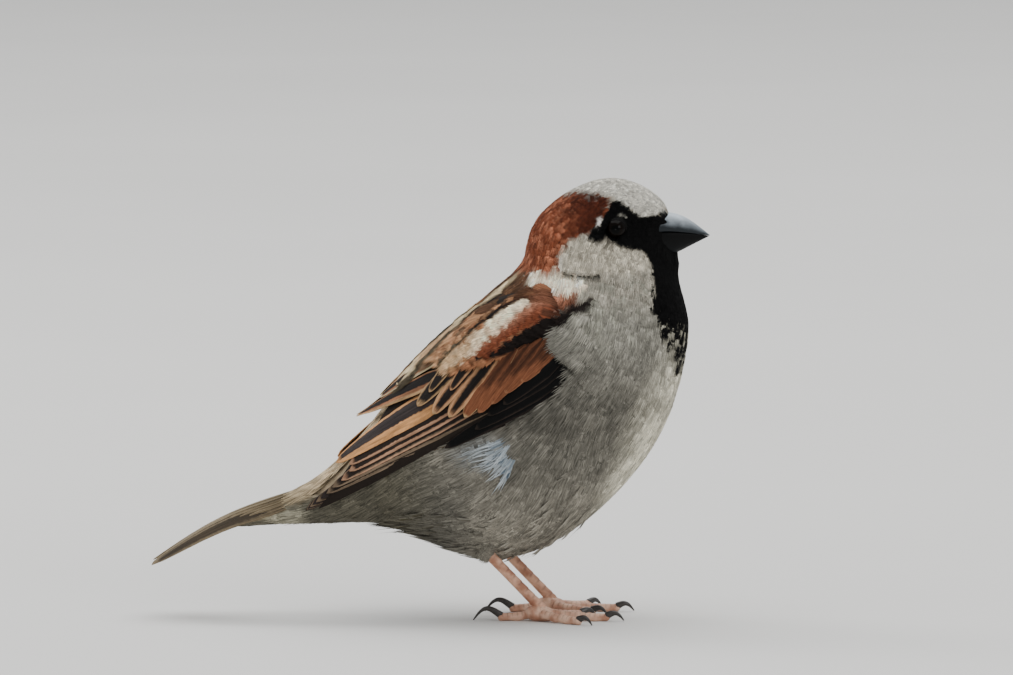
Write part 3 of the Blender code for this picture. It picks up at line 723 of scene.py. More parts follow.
def spreadRoots(surface, count, pRange, qRange, weight, seed):
    # Roots spread over a surface, as dense at each spot as weight says: even points pushed through the
    # running sums of area times weight, first over p and then over q.
    pCount, qCount = 160, 140
    p, q = np.meshgrid(np.linspace(*pRange, pCount), np.linspace(*qRange, qCount), indexing="ij")
    points = surface(p, q)
    area = np.linalg.norm(np.cross(np.gradient(points, axis=0), np.gradient(points, axis=1)), axis=-1)
    dense = area * weight(p, q, points) + 1e-9
    rows = np.cumsum(dense.sum(1))
    a, b = evenSpots(count, 0.37 + seed)
    jitter = np.random.default_rng(8).normal(size=(2, count)) * 0.5 / math.sqrt(count)
    a, b = np.clip(a + jitter[0], 0, 1), np.clip(b + jitter[1], 0, 1)
    row = np.interp(a * rows[-1], rows, np.arange(len(rows)))
    sums = np.cumsum(dense, axis=1)
    sums /= sums[:, -1:]
    line = np.clip(np.round(row).astype(int), 0, len(rows) - 1)
    column = (sums[line] < b[:, None]).sum(1) - np.random.default_rng(5).random(count)
    return np.interp(row, np.arange(pCount), p[:, 0]), np.interp(column, np.arange(qCount), q[0])


def growFeathers(surface, p, q, head, length, width, swing, leaf, seed, rootDepth, lift, camber,
                 ruffle=0.25, bare=None, level=0.0):
    # Feathers whose middle lines follow the lie from their roots, turned by swing, each with the template's
    # points beside its line. A line is walked in steps of the surface's own two numbers, so it wraps the
    # body. The height over the surface goes from -rootDepth up to lift at the tip, less camber * v squared.
    rng = np.random.default_rng(seed)
    steps, reach = 10, 1.5  # steps of each line, and how far it goes in lengths of the feather
    tipReach, shortest = 1.3, 0.18  # where the barbs' tips end, and the least share of its length left
    count = len(p)
    length = length * (1 + 0.22 * (rng.random(count) - 0.5))
    swing = swing + ruffle * (rng.random(count) - 0.5)
    lines = np.zeros((count, steps + 1, 2))
    frames = np.zeros((count, steps + 1, 2, 2))
    at = np.stack([p, q], -1)
    for k in range(steps + 1):
        down, across = lieFrame(surface, at[:, 0], at[:, 1], head)
        turned = down * np.cos(swing)[:, None] + across * np.sin(swing)[:, None]
        lines[:, k], frames[:, k, 0] = at, turned
        frames[:, k, 1] = across * np.cos(swing)[:, None] - down * np.sin(swing)[:, None]
        at = at + turned * (length * reach / steps)[:, None]
    share = np.ones(count)
    if bare:
        # A feather that would run over something kept bare ends before it.
        near = bare(surface(lines[..., 0], lines[..., 1]), rng.random(count)[:, None])
        first = np.where(near.any(1), near.argmax(1), steps + 5) * reach / steps
        share = np.minimum(share, first / tipReach)
    keep = share > shortest
    lines, frames, share = lines[keep], frames[keep], np.minimum(share, 1)[keep]
    length, width = length[keep] * share, np.broadcast_to(width, count)[keep] * np.sqrt(share)
    count = int(keep.sum())
    tips = leaf["tips"]  # 1 at the barbs' tips, which are shaken a little
    u = leaf["u"] + tips * 0.16 * (rng.random((count, len(tips))) - 0.6)
    v = leaf["v"] + tips * 0.22 * (rng.random((count, len(tips))) - 0.5)
    walk = np.clip(u * share[:, None], 0, reach - 1e-6) * steps / reach
    low = walk.astype(int)
    rest = (walk - low)[..., None]
    rows = np.arange(count)[:, None]
    middle = lines[rows, low] * (1 - rest) + lines[rows, low + 1] * rest
    spot = middle + frames[rows, low, 1] * (v * width[:, None] / 2)[..., None]
    depth, rise = (np.broadcast_to(value, keep.shape)[keep] for value in (rootDepth, lift))
    rise = rise * (0.7 + 0.6 * rng.random(count))
    height = -depth[:, None] * np.clip(1 - u, 0, 1) ** 1.2
    height = height + rise[:, None] * np.clip(u, 0, 1.2) ** 2 - camber * v ** 2
    height = height - 0.25 * tips - level * rng.random(count)[:, None]
    points = surface(spot[..., 0], spot[..., 1], height)
    chance = rng.random(count)
    leafCoords = np.stack([u, v, np.broadcast_to(chance[:, None], u.shape)], -1)
    threeQuarters = np.clip((0.75 * share * steps / reach).astype(int), 0, steps)
    return {"points": points, "leaf": leafCoords, "chance": chance, "p": p[keep], "q": q[keep],
            "heart": surface(*lines[np.arange(count), threeQuarters].T), "triangles": leaf["triangles"]}


def patchMap(rootU, rootV, leafCoords):
    # each feather's patch of the unwrap, at its root's place
    size = 0.003
    u, v = leafCoords[..., 0], leafCoords[..., 1]
    return np.stack([rootU[:, None] + size * (v * 0.45), rootV[:, None] + size * (u - 0.5) * 0.9], -1)


def bodyPatch(grown):
    # the unwrap of the body's feathers: place along it and turn round it
    return patchMap(grown["p"] / lastPlace, (grown["q"] / (2 * math.pi)) % 1, grown["leaf"])


def layFeathers(name, side, slot, grown, web, rim, marks, spots, turned=True):
    # One piece of soft feathers. turned flips the template's triangles, where p and q run the other way.
    points = grown["points"]
    triangles = repeated(grown["triangles"], len(points), points.shape[1])
    points, triangles = toSide(points, triangles[:, ::-1] if turned else triangles, side)
    piece = makeMesh(name, points, triangles, slot)
    giveColours(piece, web=web, rim=rim)
    giveVectors(piece, leaf=grown["leaf"], marks=np.broadcast_to(marks, points.shape))
    giveMap(piece, spots)
    piece.data.materials.append(softVane)
    print(name + ":", len(points), "feathers,", len(triangles), "triangles")


# how deep the coat is, and the feathers' length and width, by place along the body
coat = {
    "depth": ((0, 1.2), (3, 1.8), (6, 2.4), (9, 2.2), (11, 1.7), (12, 1.2), (14, 0.8), (17, 0.4)),
    "length": ((0, 11), (3, 12), (6, 11), (8, 9.5), (10, 7.2), (11, 5.2), (12, 3.6), (13, 3.0), (14, 2.6),
               (15, 2.3), (16, 1.9), (17, 1.3)),
    "width": ((0, 4.5), (3, 5.2), (6, 5.0), (8, 4.2), (10, 3.4), (11, 2.5), (12, 1.9), (13, 1.6),
              (14, 1.4), (15, 1.2), (17, 0.8)),
}


def along(table, place):
    # a value read from a table of places
    return np.interp(place, [row[0] for row in table], [row[1] for row in table])


leg = {
    # of the left leg, less what leftAhead adds to its x: middles (x, y, z), and radii down the thigh
    "leftAhead": 2.6,
    "foot": (24.9, 8.5, 3.2),
    "ankle": (12.6, 8.9, 16.0),
    "thighLine": ((23.0, 13.4, 35.0), (18.2, 12.9, 25.5), (12.6, 8.9, 16.0)),
    "thighRadii": (2.4, 4.9, 5.6, 5.0, 3.6, 2.4, 1.9),
    "shank": 0.92,
    "shankDepth": 1.3,  # depth over width
    "palm": (3.4, 2.5, 1.9),  # half its length, width and height
}


def legStep(side):
    # how far this side's leg stands forwards
    return np.array([leg["leftAhead"] if side > 0 else 0.0, 0.0, 0.0])


def thighSurface(share, turn, grow=0.0):
    # a tapered tube down the feathered thigh: middle + radius * (side * cos(turn) + up * sin(turn))
    line, radii = splineThrough(leg["thighLine"]), splineThrough(np.array(leg["thighRadii"])[:, None])
    at = np.asarray(share) * 2
    path, ahead = line(at), unit(line(at + 0.02) - line(at - 0.02))
    side = unit(np.cross(ahead, np.array([1.0, 0, 0])))
    up = np.cross(ahead, side)
    radius = radii(np.asarray(share) * 6)[..., 0] + grow
    return path + side * (radius * np.cos(turn))[..., None] + up * (radius * np.sin(turn))[..., None]


def makeSkin():
    # One skin: the body's surface less the coat's depth, with the thighs, joined by a voxel remesh.
    thighInset, voxel = 0.9, 0.0006
    place, turn = roundGrid(0, lastPlace, 150, 90)
    shells = [closedTube(bodySurface(place, turn, -along(coat["depth"], place)))]
    share, angle = roundGrid(0, 0.93, 30, 24)
    for side in sides.values():
        shells.append(closedTube(mirrored(thighSurface(share, angle, -thighInset) + legStep(side), side)))
    points, triangles, first = [], [], 0
    for shell, faces in shells:
        points.append(shell)
        triangles.append(outward(shell, faces) + first)
        first += len(shell)
    rough = bpy.data.meshes.new("skin_shells")
    rough.from_pydata([tuple(p) for p in np.concatenate(points) * mm], [], np.concatenate(triangles).tolist())
    holder = bpy.data.objects.new("skin_shells", rough)
    bpy.context.scene.collection.objects.link(holder)
    remesh = holder.modifiers.new("join", "REMESH")
    remesh.mode = "VOXEL"
    remesh.voxel_size = voxel
    graph = bpy.context.evaluated_depsgraph_get()
    joined = holder.evaluated_get(graph).to_mesh()
    joined.calc_loop_triangles()
    spots = np.empty(len(joined.vertices) * 3)
    joined.vertices.foreach_get("co", spots)
    faces = np.empty(len(joined.loop_triangles) * 3, np.int32)
    joined.loop_triangles.foreach_get("vertices", faces)
    spots, faces = spots.reshape(-1, 3) / mm, faces.reshape(-1, 3)
    holder.evaluated_get(graph).to_mesh_clear()
    bpy.data.objects.remove(holder)
    flesh = ["head", "neck", "trunk", "tail_coverts", "thigh_left", "thigh_right"]
    skin = makeMesh("skin", spots, faces, "body_plumage", *flesh)
    colour, _ = bodyColours(spots, np.full(len(spots), 0.4))
    giveColours(skin, web=colour)
    skin.data.materials.append(downFinish)
    print("skin:", len(faces), "triangles")


# where the folded wing hides the body, as (x, z), and the edge of the plumage round the bill, as (z, x)
wingWindow = ((26.8, 75.4), (28.0, 73.6), (28.4, 70.5), (28.6, 68.0), (28.6, 65.8), (27.9, 62.9),
              (29.4, 60.0), (33.2, 57.6), (31.6, 54.4), (28.1, 50.8), (23.0, 48.1), (16.7, 45.6),
              (10.0, 43.4), (-3.1, 36.4), (-12.0, 32.0), (-27.6, 24.8), (-26.0, 29.0), (-18.0, 40.0),
              (-14.0, 46.0), (-6.0, 55.0), (1.0, 61.0), (9.0, 67.4), (16.0, 72.4), (23.0, 75.6))
billEdge = ((82.8, 57.5), (83.6, 55.6), (86.0, 52.7), (88.2, 51.5), (90.5, 52.6), (92.3, 54.6),
            (92.8, 58.0))


def wingCover(points):
    # 1 where the folded wing hides the body
    x, y, z = seen(points)
    return insideOutline(x, z, wingWindow, 0.5) * (y > 3)


def keptBare(points, chance):
    # the eyes, the bill, and the wing with a ragged edge
    x, y, z = seen(points)
    eyeX, _, eyeZ = eye["centre"]
    atEye = ((x - eyeX) ** 2 + (points[..., 2] - eyeZ) ** 2 < eye["bare"] ** 2) & (y > 3)
    atBill = (z > 83.4) & (z < 92.8) & (x > np.interp(z, *zip(*billEdge)))
    inWing = insideOutline(x + 2.2 * (chance - 0.4), z - 1.2 * (chance - 0.5), wingWindow, 0.5) * (y > 3)
    return atEye | atBill | (inWing > 0.5)


def writeCoat(name, grown, hidden, slot, lighter=1.0):
    # body feathers less the hidden ones, coloured by where they lie, each a little lighter or darker
    shown = {key: grown[key][~hidden] for key in ("points", "leaf", "chance", "heart", "p", "q")}
    shown["triangles"] = grown["triangles"]
    chance = shown["chance"][:, None] + 0 * shown["points"][..., 0]
    marking = shown["heart"][:, None] * 0.55 + shown["points"] * 0.45  # so that marks follow the feathers
    colour, edge = (lighter * paint for paint in bodyColours(marking, chance))
    tone = 0.8 if slot == "head_plumage" else 0.5
    vary = (1 + tone * (np.random.default_rng(3).random(len(chance)) - 0.5))[:, None, None]
    streaks = 1 + 0.5 * (np.random.default_rng(4).random(chance.shape) - 0.5)[..., None]
    layFeathers(name, 1, slot, shown, colour * vary, edge * vary * streaks, (0.55, 0.4, 0.8),
                bodyPatch(shown))


def makeBodyCoat():
    # The body's feathers, in pieces from tail to head.
    soft = leafTemplate(4, 4, 13, 0.42)
    tiny = leafTemplate(3, 3, 9, 0.45)

    def size(place):
        return along(coat["length"], place), along(coat["width"], place)

    def weight(p, q, points):
        length, width = size(p)
        hidden = 0.12 + 0.88 * (1 - wingCover(points))  # few under the wing
        return hidden / (length * width)

    pieces = {
        # from place to place, how many, template, seed
        "tail_covert_feathers": (0.35, 2.6, 900, soft, 1),
        "vent_feathers": (2.6, 4.6, 1900, soft, 2),
        "belly_feathers": (4.6, 6.4, 2700, soft, 3),
        "flank_feathers": (6.4, 8.0, 2700, soft, 4),
        "breast_feathers": (8.0, 10.0, 3000, soft, 5),
        "neck_feathers": (10.0, 11.6, 3400, soft, 6),
        "cheek_feathers": (11.6, 13.6, 4600, tiny, 7),
        "face_feathers": (13.6, 17.0, 4600, tiny, 8),
    }
    for name, (start, end, count, leaf, seed) in pieces.items():
        place, turn = spreadRoots(bodySurface, count, (start, end), (0, 2 * math.pi), weight, seed * 0.13)
        length, width = size(place)
        root = bodySurface(place, turn)
        back = smooth(np.cos(turn), 0.75, 0.95) * smooth(-place, -9.5, -8) * smooth(place, 2.5, 4)
        length = length * (1 - 0.2 * back)
        # On the breast's sides the feathers also sweep up and back over the wing's edge, and lower down they
        # hang.
        sideways = np.sin(turn)
        low = smooth(-np.cos(turn), -0.35, 0.5)
        swing = -0.35 * sideways * smooth(place, 7.5, 8.5) * smooth(-place, -10.5, -9) * (1 - low)
        swing = swing + 0.75 * sideways * low * smooth(place, 1.5, 4.0) * smooth(-place, -9.5, -7.5)
        vent = smooth(place, 0.6, 1.6) * smooth(-place, -5.2, -3.6) * smooth(-np.cos(turn), 0.2, 0.8)
        lift = 0.35 - 0.8 * vent
        front = insideOutline(root[:, 0], root[:, 2], bodyMarks["besideWing"], 4)
        lift = lift + 1.1 * front * (np.abs(root[:, 1]) > 6)
        fluff = insideOutline(root[:, 0], root[:, 2], bodyMarks["fluff"], 3)
        lift = lift + 0.8 * fluff * (np.random.default_rng(seed).random(count) > 0.93)
        depth = 0.9 * along(coat["depth"], place)
        grown = growFeathers(bodySurface, place, turn, 1, length, width, swing, leaf, seed, depth, lift,
                             0.08 + 0.02 * (leaf is soft), bare=keptBare, level=0.3 if leaf is soft else 0.08)
        hidden = wingCover(grown["heart"]) > 0.9
        writeCoat(name, grown, hidden, "head_plumage" if start >= 11 else "body_plumage")


def makeWisps():
    # thin loose strands that stand out a little along the belly's lower edge
    count = 90
    place, turn = evenSpots(count, 0.43)
    place, turn = 3.6 + 3.8 * place, math.pi + (turn - 0.5) * 1.9
    same = np.ones(count)
    grown = growFeathers(bodySurface, place, turn, 1, same * 8.0, same * 0.9, same * 0,
                         leafTemplate(4, 3, 3, 0.8), 41, same * 1.2, same * 1.25, 0.02, ruffle=0.5)
    writeCoat("belly_wisps", grown, np.zeros(len(grown["p"]), bool), "body_plumage", 1.25)


flankFan = {
    "at": (19.4, 41.6),  # x, z
    "spread": 1.2,
    "count": 34,
    "length": 6.6,
    "width": 0.65,
    "turned": (-0.12, 0.72),  # from the first strand to the last, in radians
}


def makeFlankFan(label, side):
    # pale blue strands that fan out backwards from one place on the flank, under the wing
    rng = np.random.default_rng(47)
    place, turn = np.array(spotsOnSide([flankFan["at"]])).T
    count = flankFan["count"]
    place = place + rng.normal(size=count) * 0.05 * flankFan["spread"]
    turn = turn + rng.normal(size=count) * 0.05 * flankFan["spread"]
    same = np.ones(count)
    grown = growFeathers(bodySurface, place, turn, 1, same * flankFan["length"], same * flankFan["width"],
                         np.linspace(*flankFan["turned"], count), leafTemplate(6, 3, 3, 0.5), 48, same * 0.3,
                         same * 0.9, 0.02, ruffle=0.1)
    flat = 0 * grown["points"]
    share = grown["chance"][:, None] ** 1.5 + flat[..., 0]
    web = blend(plumage["fan"] + flat, plumage["fanPale"], share)
    rim = blend(web, plumage["fanRim"], 0.5 + 0 * share)
    layFeathers(f"flank_fan_{label}", side, "body_plumage", grown, web, rim, (0.6, 0.4, 0.85),
                bodyPatch(grown))


def makeThighFeathers(label, side):
    # short feathers down the thigh, whose own two numbers are the share down it and the turn round it
    def surface(p, q, grow=0.0):
        return thighSurface(p, q, grow - 0.3)

    p, q = evenSpots(560, 0.2 + side * 0.1)
    p, q = 0.3 + 0.66 * p, q * 2 * math.pi
    grown = growFeathers(surface, p, q, -1, 4.6 - 2.3 * p, 2.4 - 1.3 * p, 0 * p, leafTemplate(4, 4, 11, 0.45),
                         31, 0 * p + 0.7, 0.15 + 0.35 * smooth(p, 0.8, 0.95), 0.05)
    grown["points"] = grown["points"] + legStep(side)
    points = mirrored(grown["points"], side)
    colour, edge = bodyColours(points, grown["chance"][:, None] + 0 * points[..., 0])
    layFeathers(f"thigh_feathers_{label}", side, "body_plumage", grown, colour * 0.9, edge, (0.6, 0.4, 0.85),
                patchMap(grown["p"], grown["q"] / (2 * math.pi), grown["leaf"]))


def vane(path, up, upperHalf, lowerHalf, point, shift):
    # A closed feather vane along a path: rows of points across its outer face and back under it. The half
    # widths widen from the root as 0.25 + 2.2 u and close at the tip as sqrt(1 - u ** point). shift moves
    # the pattern.
    rows, columns, thick = len(path), 9, 0.12
    u = np.linspace(0, 1, rows)
    shape = np.minimum(1, 0.25 + 2.2 * u) * np.sqrt(np.clip(1 - u ** point, 0, 1))
    shape[-1] = 0.04  # a narrow end instead of a point
    waves = np.sin(u * 71 + 9 * point) + 0.6 * np.sin(u * 113 + rows)
    frayed = 1 + 0.05 * smooth(u, 0.35, 0.7) * waves
    shape = np.minimum(shape, shape * frayed + 0.02)
    ahead = unit(np.gradient(path, axis=0))
    side = unit(np.cross(ahead, up))
    up = np.cross(side, ahead)
    v = np.linspace(-1, 1, columns)
    across = (v * np.where(v < 0, upperHalf, lowerHalf))[None] * shape[:, None]
    bow = -0.05 * across ** 2
    middle = path[:, None] + side[:, None] * across[..., None]
    outer, inner = (middle + up[:, None] * (bow + step)[..., None] for step in (thick / 2, -thick / 2))
    points, triangles = closedTube(np.concatenate([outer, inner[:, ::-1]], axis=1))
    pattern = v + shift * (1 - v ** 2)
    pattern, flat = (np.tile(np.concatenate([values, values[::-1]]), rows) for values in (pattern, v))
    coords = np.column_stack([np.repeat(u, 2 * columns), pattern, flat])
    coords = np.concatenate([coords, [[0, 0, 0], [1, 0, 0]]])
    return points, outward(points, triangles), coords


def layVanes(name, side, slot, nodes, vanes, acrossMap):
    # One piece from many vanes. Each comes with its pattern: colours of web, rim and fringe, where the rim
    # starts, how soft that is, and where the tip band starts. In the unwrap each has its own cell.
    firsts = np.cumsum([0] + [len(item["points"]) for item in vanes[:-1]])
    triangles = np.concatenate([item["triangles"] + first for item, first in zip(vanes, firsts)])
    points, triangles = toSide(np.concatenate([item["points"] for item in vanes]), triangles, side)
    piece = makeMesh(name, points, triangles, slot, *nodes)
    down = -(-len(vanes) // acrossMap)
    layers = {"web": [], "rim": [], "fringe": []}
    leafCoords, marks, spots = [], [], []
    for index, item in enumerate(vanes):
        coords = item["coords"]
        for key, values in layers.items():
            values.append(np.broadcast_to(item[key], coords.shape))
        leafCoords.append(np.column_stack([coords[:, :2], np.full(len(coords), 0.37 * index % 1)]))
        marks.append(np.broadcast_to(item["marks"], coords.shape))
        column, line = index % acrossMap, index // acrossMap  # its cell, filled but for a margin
        spots.append(np.column_stack([(column + 0.08 + 0.42 * (coords[:, 2] + 1)) / acrossMap,
                                      (line + 0.06 + 0.88 * coords[:, 0]) / down]))
    giveColours(piece, **{key: np.concatenate(values) for key, values in layers.items()})
    giveVectors(piece, leaf=np.concatenate(leafCoords), marks=np.concatenate(marks))
    giveMap(piece, np.concatenate(spots))
    piece.data.materials.append(firmVane)
    print(name + ":", len(vanes), "vanes,", len(triangles), "triangles")


def wingLine(root, tip, bend, rows):
    # points of a slightly bowed line from root to tip, seen from the side
    t = np.linspace(0, 1, rows)[:, None]
    root, tip = np.array(root), np.array(tip)
    off = np.array([-(tip - root)[1], (tip - root)[0]]) / np.linalg.norm(tip - root)
    return root + (tip - root) * t - off * bend * (4 * t * (1 - t))


def wingVane(root, tip, bend, upper, lower, depths, point, shift, web, rim, fringe, marks):
    # A vane on the left wing along a line given from the side; depths run under the wing's outer face.
    rows, ease = 34, np.ones(5) / 5
    line = wingLine(root, tip, bend, rows)
    a, c = (np.convolve(np.pad(value, 2, mode="edge"), ease, "valid") for value in wingSpots(line))
    path = wingSurface(a, c, -np.linspace(*depths, rows))
    path[:, 0], path[:, 2] = line[:, 0], line[:, 1] + fiveDegrees * path[:, 1]
    face = wingSurface(a, c)
    up = unit(np.cross(wingSurface(a + 0.01, c) - face, wingSurface(a, c + 0.01) - face))
    points, triangles, coords = vane(path, up, upper, lower, point, shift)
    return {"points": points, "triangles": triangles, "coords": coords, "web": plumage[web],
            "rim": plumage[rim], "fringe": plumage[fringe], "marks": marks}


flight = {
    # root and tip (x, z), bend, half widths, depths, roundness of the tip, shift, web, rim, fringe, marks
    "tertials": (
        ((6.0, 62.5), (-11.6, 50.3), 0.5, 2.5, 2.3, (0.30, 0.05), 2.6, 0.35, "ink", "rufousStreak", "cream",
         (0.55, 0.15, 0.97)),
        ((8.0, 57.8), (-16.9, 46.0), 0.4, 2.7, 2.4, (0.45, 0.15), 2.4, 0.45, "ink", "rufousStreak", "buff",
         (0.60, 0.12, 0.97)),
        ((9.0, 53.2), (-21.4, 35.4), 0.9, 4.2, 2.9, (0.60, 0.45), 3.0, 0.50, "dusk", "orange", "orange",
         (0.56, 0.10, 0.985)),
    ),
    "secondaryTips": ((-18.4, 35.0), (-18.4, 33.5), (-20.2, 31.4), (-22.3, 29.8), (-23.6, 28.4)),
    "primaryTips": ((-24.9, 27.2), (-26.0, 26.4), (-26.8, 25.8), (-27.4, 25.3), (-27.9, 24.9), (-28.2, 24.7),
                    (-28.4, 24.5)),
}


def makeFlightFeathers(label, side):
    # tertials on top, then the secondaries and the primaries, each a little lower and deeper than the last
    vanes = [wingVane(*spec) for spec in flight["tertials"]]
    lastTip = len(flight["secondaryTips"]) - 1
    for k, tip in enumerate(flight["secondaryTips"]):
        s = k / lastTip
        rim, fringe = ("pinkBuff" if k < pinkOnes else "primaryEdge" for pinkOnes in (2, 3))
        vanes.append(wingVane((11.0 + 4.0 * s, 51.0 - 4.6 * s), tip, 0.5 + 0.4 * s, 2.3, 1.5,
                              (0.80 + 0.12 * k, 0.75 + 0.1 * k), 6.0, 0.35, "primary", rim, fringe,
                              (0.74, 0.12, 0.975)))
    lastTip = len(flight["primaryTips"]) - 1
    for k, tip in enumerate(flight["primaryTips"]):
        s = k / lastTip
        vanes.append(wingVane((15.0 + 2.0 * s, 46.2 - 1.8 * s), tip, 0.9 + 0.5 * s, 2.4, 1.15 + 0.05 * k,
                              (1.38 + 0.07 * k, 1.3 + 0.06 * k), 5.0, 0.3, "primary", "primary",
                              "primaryEdge" if k % 2 else "dusk", (0.8, 0.15, 0.98)))
    layVanes(f"flight_feathers_{label}", side, "wing_feathers",
             (f"wing_{label}_tertials", f"wing_{label}_primaries"), vanes, 5)


def makeWingBase(label, side):
    # the dark under-layer that the feathers lie on, inside the wing's outline
    share, across = np.meshgrid(np.linspace(0, 1, 40), np.linspace(0.10, 0.95, 24), indexing="ij")
    front = wing["frontRound"] * np.abs(2 * across - 1) ** 3 + 0.02
    end = 0.93 - 0.36 * across ** 2
    a = front + (end - front) * share
    outer, inner = (wingSurface(a, across, -depth) for depth in (1.15, 2.2))  # under the wing's face
    points, triangles = closedTube(np.concatenate([outer, inner[:, ::-1]], axis=1))
    points, triangles = toSide(points, outward(points, triangles), side)
    piece = makeMesh(f"wing_base_{label}", points, triangles, "wing_feathers", f"wing_{label}_coverts")
    giveColours(piece, web=np.broadcast_to(plumage["wingBase"], points.shape))
    piece.data.materials.append(downFinish)


greater = {
    "roots": ((9.0, 60.5), (12.5, 60.5), (16.0, 60.8), (19.5, 61.6), (22.5, 62.6), (25.5, 63.6),
              (28.5, 64.4), (31.0, 64.6)),
    "tips": ((-2.9, 48.4), (0.7, 46.6), (4.3, 45.9), (7.8, 45.9), (11.0, 46.9), (13.9, 48.9), (17.0, 51.4),
             (20.6, 54.0)),
    "half": 2.7,
    # of the first three: rim, and where it starts
    "innerRims": (("buff", 0.62), ("rufous", 0.34), ("rufous", 0.28)),
    # as the tertials' rows
    "medians": (
        ((9.0, 63.5), (-0.2, 51.6), 0.3, 1.9, 1.8, (0.05, -0.15), 2.6, 0.1, "ink", "buff", "buff",
         (0.62, 0.5, 0.9)),
        ((12.5, 62.5), (4.6, 52.0), 0.3, 1.7, 1.7, (0.1, -0.1), 2.6, 0.1, "ink", "rufous", "rufous",
         (0.5, 0.5, 0.9)),
    ),
    # root and tip
    "alula": (((31.0, 60.0), (16.6, 48.8)), ((31.8, 58.0), (13.0, 46.3)), ((31.2, 55.2), (10.2, 43.2)),
              ((30.0, 53.0), (3.4, 38.9))),
}


def makeCoverts(label, side):
    # Greater coverts in a row, two dark median coverts over their inner end, and the alula below, black
    # partly in its own colour and partly as painted shade under the coverts.
    vanes = [wingVane(*spec) for spec in greater["medians"]]
    half, dark = greater["half"], len(greater["innerRims"])
    for k, (root, tip) in enumerate(zip(greater["roots"], greater["tips"])):
        web = "ink" if k < dark else "umber"
        rim, start = greater["innerRims"][k] if k < dark else ("greater", 0.10)
        fringe = "buff" if k <= dark else "rufousStreak"
        marks = (start, 0.42, 0.86) if k < dark else (start, 0.45, 0.5)
        vanes.append(wingVane(root, tip, 0.5, half, half * 0.9, (0.2 + 0.06 * k, 0.0 + 0.06 * k), 3.0, -0.1,
                              web, rim, fringe, marks))
    for k, (root, tip) in enumerate(greater["alula"]):
        # painted shade: the alula's black also stands for the shadow under the coverts
        vanes.append(wingVane(root, tip, 0.2, 2.1, 1.7, (0.55 + 0.1 * k, 0.62 + 0.1 * k), 3.6, 0.2, "black",
                              "ink", "primary", (0.75, 0.15, 0.97)))
    layVanes(f"greater_coverts_{label}", side, "wing_feathers", (), vanes, 5)


def wingCovertColours(points, chance):
    # Colour of the folded wing's small feathers, and of their edges: the bar, the shoulder with its upper
    # side lighter, partly its own colour and partly painted light from above, and the back's stripes over
    # all.
    x, _, z = seen(points)
    colour = np.broadcast_to(plumage["greater"], points.shape).copy()
    edge = np.broadcast_to(plumage["rufousStreak"], points.shape).copy()
    for name, web, rim, soft in (("blackRow", "mantleBlack", "ink", 1.6),
                                 ("lesser", "lesser", "chestnutRim", 1.8),
                                 ("whiteBar", "whiteBar", "whiteBar", 3.0)):
        mark = scattered(insideOutline(x, z, wingMarks[name], soft), chance, 0.9)
        colour, edge = blend(colour, plumage[web], mark), blend(edge, plumage[rim], mark)
    # painted light: the lesser coverts' upper side lighter, partly their own colour and partly light from
    # above
    upperSideLit = insideOutline(x, z, wingMarks["lesser"], 1.8) * smooth(z - 0.66 * x, 52.6, 56.2)
    bar = insideOutline(x, z, wingMarks["whiteBar"], 2.4)
    patches = np.clip(0.35 + 0.9 * (chance - 0.5) + 0.4 * clouds(points, 3), 0, 0.8)
    for name, share in (("buff", bar * patches * smooth(-x, -17, -8)),
                        ("pinkBuff", bar * smooth(x, 21, 28) * 0.6),
                        ("buff", bar * smooth(-x, -14, -5) * 0.85),
                        ("rufousStreak", bar * (chance > 0.88) * 0.45)):
        colour, edge = blend(colour, plumage[name], share), blend(edge, plumage[name], share)
    colour = blend(colour, plumage["shoulderLit"], upperSideLit * 0.8)
    edge = blend(edge, plumage["shoulderTipLit"], upperSideLit * 0.8)
    streak, drop = backBands(points, chance, wingBackLine)
    upper = 1 - smooth(drop, 7.1, 7.7)
    upper = upper * (1 - smooth(x, 26, 30))
    streakEdge = blend(streak, plumage["cream"], 0.1 - 0.1 * smooth(x, 4, 12))
    return blend(colour, streak, upper), blend(edge, streakEdge, upper)


def makeSmallCoverts(name, label, side, outline, count, length, width, height, seed):
    # Small feathers over a stretch of the wing, in its own along and across.
    leaf = leafTemplate(5, 4, 11, 0.22)

    def weight(p, q, points):
        x, _, z = seen(points)
        return insideOutline(x, z, outline, 0.6) + 1e-6

    p, q = spreadRoots(wingSurface, count, (0.02, 0.66), (0.2, 1.0), weight, 0.21 + seed * 0.1)
    inside = weight(p, q, wingSurface(p, q)) > 0.5
    p, q = p[inside], q[inside]
    same = np.ones(len(p))
    low = height * smooth(q, 0.7, 1.0) * 2.6  # close to the back, so that the outline stays smooth
    grown = growFeathers(wingSurface, p, q, -1, same * length, same * width, same * 0, leaf, seed,
                         same * 0.45 + low, same * height - low, 0.12, ruffle=0.3)
    points = grown["points"]
    chance = grown["chance"][:, None] + 0 * points[..., 0]
    colour, edge = wingCovertColours(grown["heart"][:, None] * 0.5 + points * 0.5, chance)
    vary = (0.78 + 0.44 * np.random.default_rng(seed).random(len(points)))[:, None, None]
    layFeathers(f"{name}_{label}", side, "wing_feathers", grown, colour * vary, edge * vary,
                (0.45, 0.4, 0.75), patchMap(grown["p"], grown["q"], grown["leaf"]), turned=False)


smallCoverts = {
    # outline (x, z), how many, length, width, height of the tips, seed
    "lesser_coverts": (((38, 76), (29, 75.8), (21, 73.4), (10, 66.5), (4, 61.6), (7, 58.6), (16, 60.6),
                        (23, 63.6), (30, 66.6), (38, 70)), 460, 5.0, 2.7, 0.55, 21),
    "scapulars": (((24.4, 80), (22.4, 76.0), (17.5, 73.2), (10, 67.0), (3, 61.5), (-2, 58), (-5, 58),
                   (-1, 64), (10, 74), (20, 82)), 330, 8.6, 2.5, 0.8, 23),
}


